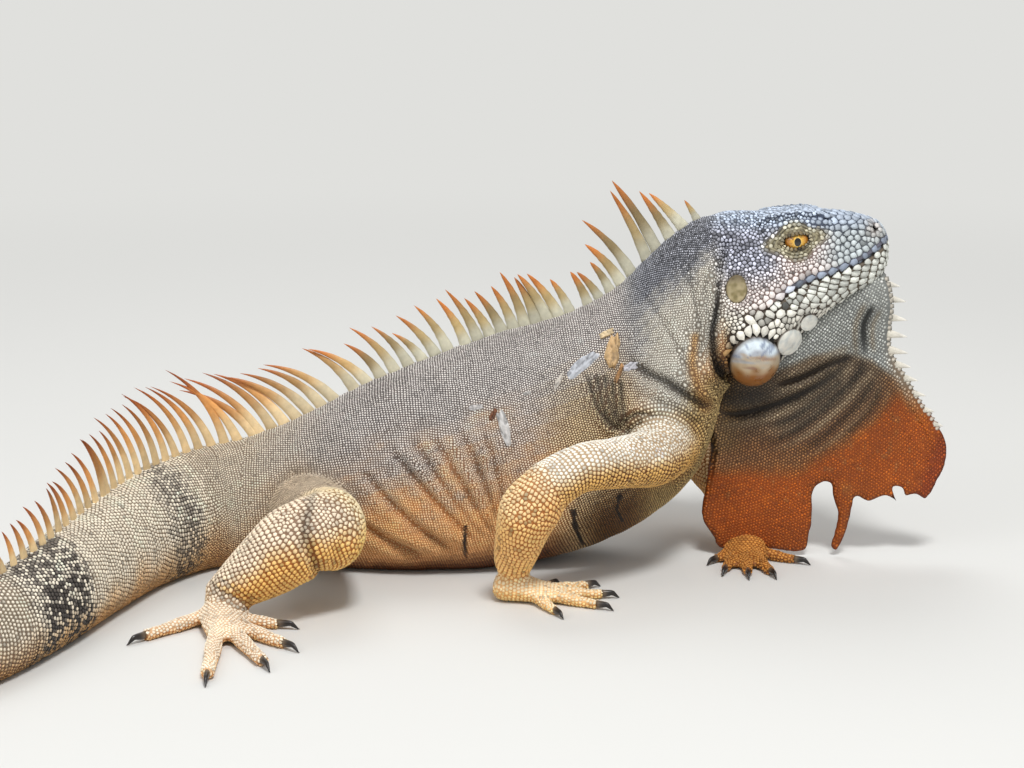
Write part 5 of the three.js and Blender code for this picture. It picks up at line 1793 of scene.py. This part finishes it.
def make_fan_scales(line):
    """Rows of beads on both faces of the fan, and larger pale ones along its front edge."""
    centre = np.array([130.0, 190.0])
    flat, size, pale = fan_places(line, centre)
    edge = edge_distance(flat, line)
    uv = (flat - line.min(0)) / np.ptp(line, axis=0).max() * 0.98 + 0.01
    step = 0.6
    made = []
    for side, label in SIDES:
        y, y_ahead, y_above = (fan_surface(flat + off, side, edge) for off in ([0, 0], [step, 0], [0, step]))
        same, none = np.full(len(flat), step), np.zeros(len(flat))
        ahead, above = np.column_stack([same, y_ahead - y, none]), np.column_stack([none, y_above - y, same])
        normal = unit(np.cross(above, ahead) * side)
        points = np.column_stack([flat[:, 0], y, flat[:, 1]])
        lie = upright(unit(flat - centre))
        offsets = points[neighbours(points)] - points[:, None]
        tiles = Tiles(points, normal, lie, size, np.minimum(0.13 * size, 0.3), 0.2, offsets, gap=0.9)
        light, dark = fan_colors(flat)
        light = light * (1 + random.normal(0, 0.1, len(flat)))[:, None]
        light = np.where(pale[:, None], (206, 198, 184), light)
        made.append(tiles.build(f"scales_fan_{label}", np.clip(light, 0, 255), dark, uv))
    return made


# ------------------------------------------------------------------ crest, claws and spikes
CREST_AROUND, CLAW_AROUND, SPIKE_AROUND = 10, 12, 10


def chance(n, kind):
    """A fixed number from 0 to 1 for each spine and use."""
    value = np.sin(n * 12.9898 + kind * 78.233) * 43758.5453
    return value - np.floor(value)


def crest_column(at, k):
    return float(smooth(-CREST[:, 0], CREST[:, k], np.array([-at]))[0])


def crest_places():
    """Where the spines stand, as for the solids: a spacing apart and clear of the cuts."""
    margin = SPINE_ROOT * CUT_CLEARANCE
    at, made = CREST_START, []
    while at > CREST_END:
        made.append(at)
        at -= crest_column(at, 4)
        near = [cut for cut in CUTS if abs(cut - at) < margin]
        if near:
            at = near[0] + margin * (1 if at >= near[0] else -1)
    return made


def ridge_top(place):
    """The middle of the back at a place along the body."""
    return body_rings(np.array([place]), np.array([np.pi / 2]))[0, 0]


def crest_spine(at, index):
    """Rings of one spine, a curved blade that thins to its tip, and how far up it each lies."""
    root = ridge_top(at)
    back = unit(ridge_top(at - 3) - root)
    side = unit(np.cross([0, 0, 1], back))
    up = np.cross(back, side)
    worn = -20 < at < 118
    wear = 0.7 + 0.36 * chance(index, 1) if worn else 0.9 + 0.14 * chance(index, 1)
    length = crest_column(at, 1) * wear - 0.3
    lean = np.radians(crest_column(at, 2) + 12 * (chance(index, 3) - 0.5))
    curl = np.radians(crest_column(at, 3))
    sway = (chance(index, 2) - 0.5) * 0.14
    base = min(SPINE_ROOT, 2.2 + 0.2 * length) * (1 - 0.2 * ramp(-at, 60, 120))
    blunt = (0.5 + 0.7 * chance(index, 5)) * ramp(at, -30, 100)
    levels = np.concatenate([[-2.2 / length, 0.0], np.linspace(0.06, 0.97, 13), [1.0]])
    angle = turns(CREST_AROUND)
    rings = []
    for f in levels:
        bend = lean + curl * f
        middle = (root + up * length * f * np.cos(lean + curl * f / 2)
                  + back * length * f * np.sin(lean + curl * f / 2) + side * length * f * f * sway)
        share = max(1 - f, 0.004) ** 0.8 + 0.2 * blunt * f * (1 - f ** 10)
        groove = 1 + 0.05 * np.sin(f * length * 1.6)
        half = base / 2 * share * 0.95 * groove
        thick = 1.25 * share ** 0.6 * min(1, 0.5 + length / 50)
        across = back * np.cos(bend) - up * np.sin(bend)
        rings.append(middle + across * half * np.cos(angle)[:, None] + side * thick * np.sin(angle)[:, None])
    return np.array(rings), levels


# root, middle and tip of a spine, each at the front and at the rear of the crest
CREST_TONES = (
    ((200, 196, 174), (234, 206, 158)),
    ((164, 142, 98), (208, 148, 86)),
    ((194, 116, 52), (166, 88, 40)),
)


def make_crest():
    """The spines from the nape to the tail."""
    parts = []
    for index, at in enumerate(crest_places()):
        rings, levels = crest_spine(at, index)
        back = ramp(-at, -10, 110)
        root, middle, tip = (np.array(front) * (1 - back) + np.array(rear) * back
                             for front, rear in CREST_TONES)
        middle = middle * (0.86 + 0.3 * chance(index, 6))
        high = np.clip(levels, 0, 1) + 0.16 * (chance(index, 7) - 0.5)
        tones = mix(mix(root, middle, ramp(high, 0.12, 0.46)), tip, ramp(high, 0.46, 0.9))
        tones = tones * (0.9 + 0.16 * chance(index, 4))
        parts.append((*loft(rings), loft_colors(tones, CREST_AROUND)))
    return make_joined("crest", parts)


def claw_rings(paw, digit):
    """A hooked claw from inside the end of its digit to its tip on the floor."""
    root, way = digit_course(paw, digit)
    r = digit[4]
    length = paw["claw"]
    base = root + way * (digit[3] + 0.3)
    side = np.cross([0, 0, 1], way)
    angle = turns(CLAW_AROUND)
    low = np.where(np.sin(angle) < 0, 0.85, 1.0)
    rings = []
    for f in np.concatenate([[-0.12], np.linspace(0, 0.96, 10)]):
        lift = np.interp(f, [-0.12, 0, 0.5, 0.88], [0.74 * r, 0.72 * r, 0.8 * r, 0.55]) if f < 0.88 else 0.45
        size = np.interp(f, [-0.12, 0, 0.3, 0.6, 0.88, 0.96], [1.0, 1.0, 0.86, 0.58, 0.2, 0.06])
        at = base + way * min(length * (f - 0.12 * f * f), length * 0.88)
        at[2] = max(lift, 2.3 * size * 0.9 + 0.1)
        tilt = unit(np.array([0, 0, 1]) + way * f * 0.8)
        across = side * (np.cos(angle) * 1.5 * size)[:, None]
        rings.append(at + across + tilt * (np.sin(angle) * 2.15 * size * low)[:, None])
    return np.array(rings)


def make_claws():
    parts = []
    for paw in PAWS.values():
        for digit in paw["digits"]:
            rings = claw_rings(paw, digit)
            points, faces = loft(rings)
            points[:, 2] = np.maximum(points[:, 2], 0.05)
            tones = mix((112, 96, 78), (38, 33, 30), ramp(np.linspace(0, 1, len(rings)), 0.0, 0.4))
            parts.append((points, faces, loft_colors(tones, CLAW_AROUND)))
    return make_joined("claws", parts)


def make_spikes():
    """The row of pale spikes down the front edge of the throat."""
    droop = 0.12
    way = np.array([np.cos(droop), 0, -np.sin(droop)])
    up = np.array([np.sin(droop), 0, np.cos(droop)])
    angle = turns(SPIKE_AROUND)
    parts = []
    for x, z, length in THROAT_SPIKES:
        base = np.array([x, 0, z]) - way * 2.2
        rings = []
        for f in np.linspace(0, 0.97, 9):
            radius = 2.6 * np.sqrt(length / 9) * (1 - f) ** 0.8
            at = base + way * (length + 2.0) * f - up * 0.6 * f * f
            across = np.array([0, 1, 0]) * (np.sin(angle) * radius * 0.55)[:, None]
            rings.append(at + up * (np.cos(angle) * radius)[:, None] + across)
        tones = mix((206, 200, 186), (236, 232, 222), np.linspace(0, 1, len(rings)))
        parts.append((*loft(np.array(rings)), loft_colors(tones, SPIKE_AROUND)))
    return make_joined("throat_spikes", parts)


# ------------------------------------------------------------------ eyes, ear drums and shields
DISC_AROUND, EYE_AROUND = 72, 96


def disc(at, side, radii, heights, squash=1.0):
    """A round piece from its middle outwards, over the flat that fits the skin beside it best."""
    angle = turns(DISC_AROUND)
    wide = max(radii)
    rim = np.column_stack([at[0] + wide * np.cos(angle), at[1] + wide * squash * np.sin(angle)])
    hits = on_cheek(rim, side)
    hits = hits[~np.isnan(hits[:, 0]) & (np.abs(hits[:, 1]) > 12)]
    around = np.column_stack([hits[:, [0, 2]] - at, np.ones(len(hits))])
    fit = np.linalg.lstsq(around, hits[:, 1], rcond=None)[0]
    out = unit(np.array([-fit[0], 1, -fit[1]])) * side
    bulge = max(out @ (on_cheek([at], side)[0] - [at[0], fit[2], at[1]]), 0)
    rows = []
    for radius, height in zip(radii, heights):
        height = height + bulge * max(1 - (radius / wide) ** 2, 0)
        x, z = radius * np.cos(angle), radius * squash * np.sin(angle)
        rows.append(np.column_stack([at[0] + x, fit[2] + fit[0] * x + fit[1] * z, at[1] + z]) + out * height)
    return loft(np.array(rows))


def disc_rim(share, start, end):
    """How near the rim each point of a disc is, from one share of its radius to another."""
    return np.concatenate([np.repeat(ramp(share, start, end), DISC_AROUND), [0, 1]])


def shield_tones(points, at, radius, share):
    """The great shield: blue and white streaks above, ochre below and a dark rim; the darker ochre below is
    partly painted shade under its dome.
    """
    x, rise = points[:, 0] - at[0], points[:, 2] - at[1]
    high = rise / radius
    streak = noise(np.column_stack([x * 0.35 + rise * 0.25, 0 * x, rise]), 1.6, 41)
    blot = noise(points, 4.5, 42)
    spokes = noise(np.column_stack([np.arctan2(rise, x) * 4, 0 * x, np.hypot(x, rise) * 0.12]), 0.55, 44)
    # ochre below, paler above: the darker lower part is partly its own colour and partly painted shade
    tone = mix((150, 98, 50), (196, 176, 146), ramp(high + 0.25 * blot, -0.55, -0.05))
    tone = mix(tone, (178, 184, 194), ramp(high + 0.35 * streak, -0.05, 0.4))
    tone = mix(tone, (226, 238, 246), ramp(high + 0.35 * blot, 0.25, 0.65))
    tone = mix(tone, (104, 118, 150), ramp(spokes, 0.15, 0.6) * ramp(high, -0.05, 0.3) * 0.6)
    tone = mix(tone, (132, 84, 70), ramp(-streak, 0.3, 0.8) * ramp(-np.abs(high), -0.5, -0.1) * 0.5)
    return mix(tone, (58, 46, 36), disc_rim(share, 0.93, 0.985) * 0.9)


def plate_tones(points, share):
    """A smaller shield: pale, a little greenish, with a dark rim."""
    tone = mix((246, 245, 236), (222, 226, 222), ramp(noise(points, 2.6, 43), -0.2, 0.8))
    return mix(tone, (64, 52, 40), disc_rim(share, 0.9, 0.985) * 0.9)


def make_shields():
    """The great round shield under the ear and the two smaller ones ahead of it, each with its node."""
    share = np.concatenate([np.linspace(0.02, 0.9, 22), [0.95, 0.985, 0.992, 0.985, 0.975]])
    made = []
    for name, at, radius, tall, dome in SHIELDS:
        height = dome * np.sqrt(np.maximum(1 - share ** 2.3, 0)) * 0.93 + 0.5
        height[-3:] = [0.4, -0.6, -3.0]
        for side, label in SIDES:
            points, faces = disc(at, side, share * radius * 0.98, height, squash=tall)
            tone = shield_tones(points, at, radius, share) if name == "main" else plate_tones(points, share)
            piece = make_object(f"plate_{name}_{label}", points, faces, to_linear(tone))
            made.append((piece, f"shield_{name}_{label}"))
    return made


def make_ears():
    """The ear drums, each with its node."""
    share = np.concatenate([np.linspace(0.03, 1.0, 16), [1.0, 0.98]])
    height = 0.6 + 1.4 * share ** 2.5
    height[-2:] = [0.2, -2.5]
    made = []
    for side, label in SIDES:
        points, faces = disc(EAR_AT, side, share * (EAR_SIZE + 0.1), height, squash=EAR_TALL)
        veins = noise(points, 1.7, 51) + 0.08 * (EAR_AT[1] - points[:, 2])
        tone = mix((172, 158, 124), (134, 122, 84), ramp(veins, -0.4, 0.8))
        # painted shadow on the upper part of the drum under the rim of its hollow; the drum is also darker
        # round its edge
        shade = np.maximum(disc_rim(share, 0.86, 1.0) * 0.9, 0.55 * ramp(points[:, 2], 155, 160))
        piece = make_object(f"ear_drum_{label}", points, faces, to_linear(mix(tone, (96, 84, 64), shade)))
        made.append((piece, f"ear_{label}"))
    return made


def eye_tones(x, z):
    """The iris and pupil at places across and up from the middle of the eye."""
    far = np.sqrt(x * x + z * z)
    pupil = np.sqrt((x / 1.75) ** 2 + (z / 2.15) ** 2)
    angle = np.arctan2(z, x)
    rays = noise(np.column_stack([np.cos(angle) * 7, np.sin(angle) * 7, far * 0.3]), 0.8, 61)
    tone = mix((226, 172, 62), (176, 112, 34), ramp(far, 2.6, 5.6))
    tone = mix(tone, (240, 204, 104), ramp(rays, 0.2, 0.9) * 0.5)
    tone = mix(tone, (96, 48, 16), ramp(-rays, 0.3, 1.0) * 0.45)
    tone = mix(tone, (246, 206, 110), ramp(-pupil, -1.32, -1.12))
    tone = mix(tone, (8, 7, 7), ramp(-pupil, -1.06, -0.98))
    return mix(tone, (34, 22, 14), ramp(far, 5.8, 6.8))


def make_eyes():
    """Eyeballs with an iris and a pupil, between the lids, each with its node."""
    turn = turns(EYE_AROUND)[:, None]
    tilt = np.concatenate([np.linspace(0.02, 0.7, 44), np.linspace(0.74, np.pi - 0.05, 22)])
    radius = EYE_RADIUS - 0.12 + 0.22 * bell(tilt / 0.35)
    made = []
    for side, label in SIDES:
        look = unit(np.array([0.05, side, 0.03]))
        ahead = unit(np.cross(look, [0, 0, 1]) * side)
        up = np.cross(look, ahead)
        up = up * np.sign(up[2])
        rim = ahead * np.cos(turn) + up * np.sin(turn)
        rings = np.array([eye_middle(side) + r * (look * np.cos(a) + rim * np.sin(a))
                          for a, r in zip(tilt, radius)])
        points, faces = loft(rings)
        flat = points - eye_middle(side)
        piece = make_object(f"eyeball_{label}", points, faces, to_linear(eye_tones(flat @ ahead, flat @ up)))
        made.append((piece, f"eye_{label}"))
    return made


# ------------------------------------------------------------------ shed skin
# middle, half length, half width, turn of its length from level, lift and colour of each rag of old skin
SHEDS = (
    ([103, 120], 11, 4.2, 80, 3.4, (204, 170, 124)), ([106, 109], 6, 1.7, 66, 2.4, (170, 128, 84)),
    ([87, 113], 12, 4.0, 38, 1.1, (190, 193, 200)), ([100, 128.5], 5, 2.2, 24, 2.0, (212, 190, 152)),
    ([112, 112.5], 5, 2.4, 8, 0.9, (186, 184, 190)), ([46, 81], 10.5, 3.9, 106, 1.0, (196, 194, 192)),
    ([31, 91.5], 5.5, 1.8, 10, 0.8, (192, 188, 186)), ([74, 104], 6, 1.6, 60, 0.7, (200, 192, 182)),
    ([40, 88], 4.2, 2.0, 60, 1.3, (112, 70, 46)), ([58, 99], 3.2, 1.1, 15, 0.6, (190, 186, 182)),
)


def shed_rag(number, at, length, width, turn, lift):
    """A crumpled rag of old skin, whose edges sink into the coat."""
    rows, columns = 26, 14
    u, v = np.meshgrid(np.linspace(-1, 1, rows), np.linspace(-1, 1, columns), indexing="ij")
    u, v = u.ravel(), v.ravel()
    loose = np.column_stack([u * 5, v * 3, np.full(len(u), number * 7.0)])
    ragged = 0.82 + 0.3 * noise(loose, 2.1, 81)
    x, z = u * length * ragged, v * width * ragged * (1 - 0.45 * u * u)
    base = on_cheek(turned(at, x, z, np.radians(turn)), RIGHT)
    rim = np.maximum(np.abs(u), np.abs(v))
    crumple = 0.5 + 0.35 * noise(loose, 1.3, 82) + 0.4 * np.abs(noise(loose, 0.7, 83))
    out = np.array([0, RIGHT, 0.25])
    front = base + out * (lift * crumple * ramp(-rim, -1.0, -0.72) + 0.1 - 0.6 * ramp(rim, 0.86, 1))[:, None]
    rear = base - out * 0.9
    grid = grid_faces(rows, columns, closed=False)
    count = rows * columns
    edge = np.concatenate([np.arange(columns), columns * np.arange(2, rows + 1) - 1,
                           count - 2 - np.arange(columns - 1), columns * np.arange(rows - 2, 0, -1)])
    ahead = np.roll(edge, -1)
    wall = np.stack([edge, ahead, ahead + count, edge + count], -1)
    return np.concatenate([front, rear]), [np.concatenate([grid, grid[:, ::-1] + count, wall])], crumple


def make_sheds():
    parts = []
    for number, (at, length, width, turn, lift, color) in enumerate(SHEDS):
        points, faces, crumple = shed_rag(number, at, length, width, turn, lift)
        tone = mix(np.array(color) * 0.6, color, ramp(np.tile(crumple, 2), 0.25, 0.75))
        parts.append((points, faces, np.clip(tone * (1 + 0.08 * noise(points, 1.5, 84))[:, None], 0, 255)))
    return make_joined("shed_skin", parts)


# ------------------------------------------------------------------ materials
def new_material(name):
    made = bpy.data.materials.new(name)
    made.use_nodes = True
    return made


def add_node(tree, kind, values=(), sources=(), **settings):
    """A node with its settings, its plain input values and the sockets linked into its inputs."""
    node = tree.nodes.new("ShaderNode" + kind)
    for key, value in settings.items():
        setattr(node, key, value)
    set_inputs(tree, node, values, sources)
    return node


def set_inputs(tree, node, values=(), sources=()):
    for key, value in dict(values).items():
        node.inputs[key].default_value = value
    for key, socket in dict(sources).items():
        tree.links.new(socket, node.inputs[key])


def tinted(name, roughness, bump_size, bump_depth, vary=0.12, coat=0.0, specular=0.4):
    """A material that carries the tint of its mesh, broken up by noise in colour, roughness and height."""
    made = new_material(name)
    tree = made.node_tree
    where = add_node(tree, "TexCoord").outputs["Object"]
    tint = add_node(tree, "Attribute", attribute_name="tint").outputs["Color"]
    broad = add_node(tree, "TexNoise", {"Scale": 0.35 / (bump_size * MM), "Detail": 5}, {"Vector": where})
    broad = broad.outputs["Fac"]
    shade = add_node(tree, "MapRange", {"From Min": 0.3, "From Max": 0.7, "To Min": 1 - vary,
                                        "To Max": 1 + vary}, {"Value": broad})
    scaled = add_node(tree, "VectorMath", (), {0: tint, "Scale": shade.outputs["Result"]}, operation="SCALE")
    rough = add_node(tree, "MapRange", {"To Min": roughness - 0.1, "To Max": roughness + 0.1},
                     {"Value": broad})
    fine = add_node(tree, "TexNoise", {"Scale": 1 / (bump_size * MM), "Detail": 3}, {"Vector": where})
    bump = add_node(tree, "Bump", {"Strength": 1, "Distance": bump_depth * MM},
                    {"Height": fine.outputs["Fac"]})
    set_inputs(tree, tree.nodes["Principled BSDF"],
               {"Specular IOR Level": specular, "Coat Weight": coat, "Coat Roughness": 0.03},
               {"Base Color": scaled.outputs["Vector"], "Roughness": rough.outputs["Result"],
                "Normal": bump.outputs["Normal"]})
    return made


# ------------------------------------------------------------------ the stage
PAPER, PAPER_FAR = (214, 214, 211), (224, 224, 221)
PAPER_FADE = 0.5, 1.7  # metres from the middle, from where the floor takes its far colour to where it has it
FLOOR_HALF = 20000.0
# place in metres, size and power
LAMPS = {
    "key": ((0.35, -1.1, 2.0), 0.45, 34),
    "fill": ((-1.3, -1.2, 1.0), 1.2, 7),
    "back": ((-0.2, 1.3, 1.8), 1.2, 12),
}
LAMP_AIM = (0, 0, 0.08)
SKY = 0.5


def floor_paper():
    """Plain paper that takes the shadow of the object, and far from it shows a camera its own pale colour."""
    made = new_material("floor_paper")
    tree = made.node_tree
    paper = tree.nodes["Principled BSDF"]
    set_inputs(tree, paper, {"Base Color": (*to_linear(PAPER), 1), "Roughness": 0.9})
    where = add_node(tree, "TexCoord").outputs["Object"]
    far = add_node(tree, "VectorMath", (), {0: where}, operation="LENGTH").outputs["Value"]
    beyond = add_node(tree, "MapRange", {"From Min": PAPER_FADE[0], "From Max": PAPER_FADE[1]},
                      {"Value": far}, interpolation_type="SMOOTHSTEP")
    path = add_node(tree, "LightPath").outputs
    seen = path["Is Camera Ray"]
    for kind in ("Is Glossy Ray", "Is Transmission Ray"):
        seen = add_node(tree, "Math", (), {0: seen, 1: path[kind]}, operation="MAXIMUM").outputs[0]
    share = add_node(tree, "Math", (), {0: seen, 1: beyond.outputs["Result"]}, operation="MULTIPLY")
    glow = add_node(tree, "Emission", {"Color": (*to_linear(PAPER_FAR), 1)})
    both = add_node(tree, "MixShader", (), {0: share.outputs[0], 1: paper.outputs[0], 2: glow.outputs[0]})
    set_inputs(tree, tree.nodes["Material Output"], (), {"Surface": both.outputs[0]})
    return made


def make_stage():
    """A wide pale floor, soft lamps and an even sky."""
    corners = np.array([[-1, -1, 0], [1, -1, 0], [1, 1, 0], [-1, 1, 0]]) * FLOOR_HALF
    floor = make_object("floor", corners, [np.array([[0, 1, 2, 3]])])
    floor.data.materials.append(floor_paper())
    for name, (at, size, power) in LAMPS.items():
        data = bpy.data.lights.new(name, "AREA")
        data.size = size
        data.energy = power
        lamp = bpy.data.objects.new(name, data)
        lamp.location = at
        lamp.rotation_euler = (Vector(LAMP_AIM) - Vector(at)).to_track_quat("-Z", "Y").to_euler()
        bpy.context.scene.collection.objects.link(lamp)
    world = bpy.data.worlds.new("sky")
    world.use_nodes = True
    set_inputs(world.node_tree, world.node_tree.nodes["Background"], {"Color": (1, 1, 1, 1), "Strength": SKY})
    bpy.context.scene.world = world
    bpy.context.scene.view_settings.view_transform = "Standard"


# ------------------------------------------------------------------ the model
def finish_piece(made, material, slot, replaced=()):
    made.data.materials.append(material)
    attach(made, "root")
    if replaced:
        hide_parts(*replaced)


FLESH = ["head", "lower_jaw", "neck", "chest", "belly", "loin", "pelvis"] + [f"tail_{n}" for n in range(1, 7)]
for _, label in SIDES:
    FLESH += [f"{part}_{label}" for part in ("upper_arm", "forearm", "hand", "thigh", "shank", "foot")]
CLAWS = [f"claw_{paw}_{n}" for paw in PAWS for n in range(1, 6)]
SLOTS = {"head": "head_skin", "tail": "tail_skin", "arm": "limb_skin", "leg": "limb_skin"}

body_place = BodyPlace()
skin = make_skin()
light, dark = paint(skin.points, skin.normal, skin.shares, skin.place, skin.around)
flat_faces = skin.quads[:, 2] == skin.quads[:, 3]
skin_piece = make_object("skin", skin.points, [skin.quads[~flat_faces], skin.quads[flat_faces][:, :3]],
                         to_linear(mix(dark, light, np.full(len(dark), 0.08))))
scale_material = tinted("scales", 0.5, 0.6, 0.05)
skin_material = tinted("skin", 0.62, 0.8, 0.08)
finish_piece(skin_piece, skin_material, "body_skin", FLESH)
for piece in make_coat():
    finish_piece(piece, scale_material, SLOTS.get(piece.name.split("_")[1], "body_skin"))
fan, fan_line = make_fan()
finish_piece(fan, skin_material, "throat_skin", ["throat_fan"])
for piece in make_fan_scales(fan_line):
    finish_piece(piece, scale_material, "throat_skin")
finish_piece(make_sheds(), tinted("shed", 0.55, 1.0, 0.15), "body_skin")
horn = tinted("horn", 0.45, 1.2, 0.06)
finish_piece(make_crest(), horn, "crest")
finish_piece(make_spikes(), horn, "throat_skin")
finish_piece(make_claws(), tinted("claw_horn", 0.32, 0.9, 0.05, specular=0.5), "claw", CLAWS)
PLATES = (
    (make_shields, tinted("shield_plate", 0.3, 1.5, 0.04, coat=0.15, specular=0.5), "shield"),
    (make_ears, tinted("ear_drum", 0.38, 0.7, 0.05), "eardrum"),
    (make_eyes, tinted("eye", 0.3, 0.5, 0.01, vary=0.05, coat=1.0), "eye"),
)
for make, material, slot in PLATES:
    for piece, node in make():
        finish_piece(piece, material, slot, [node])

make_stage()
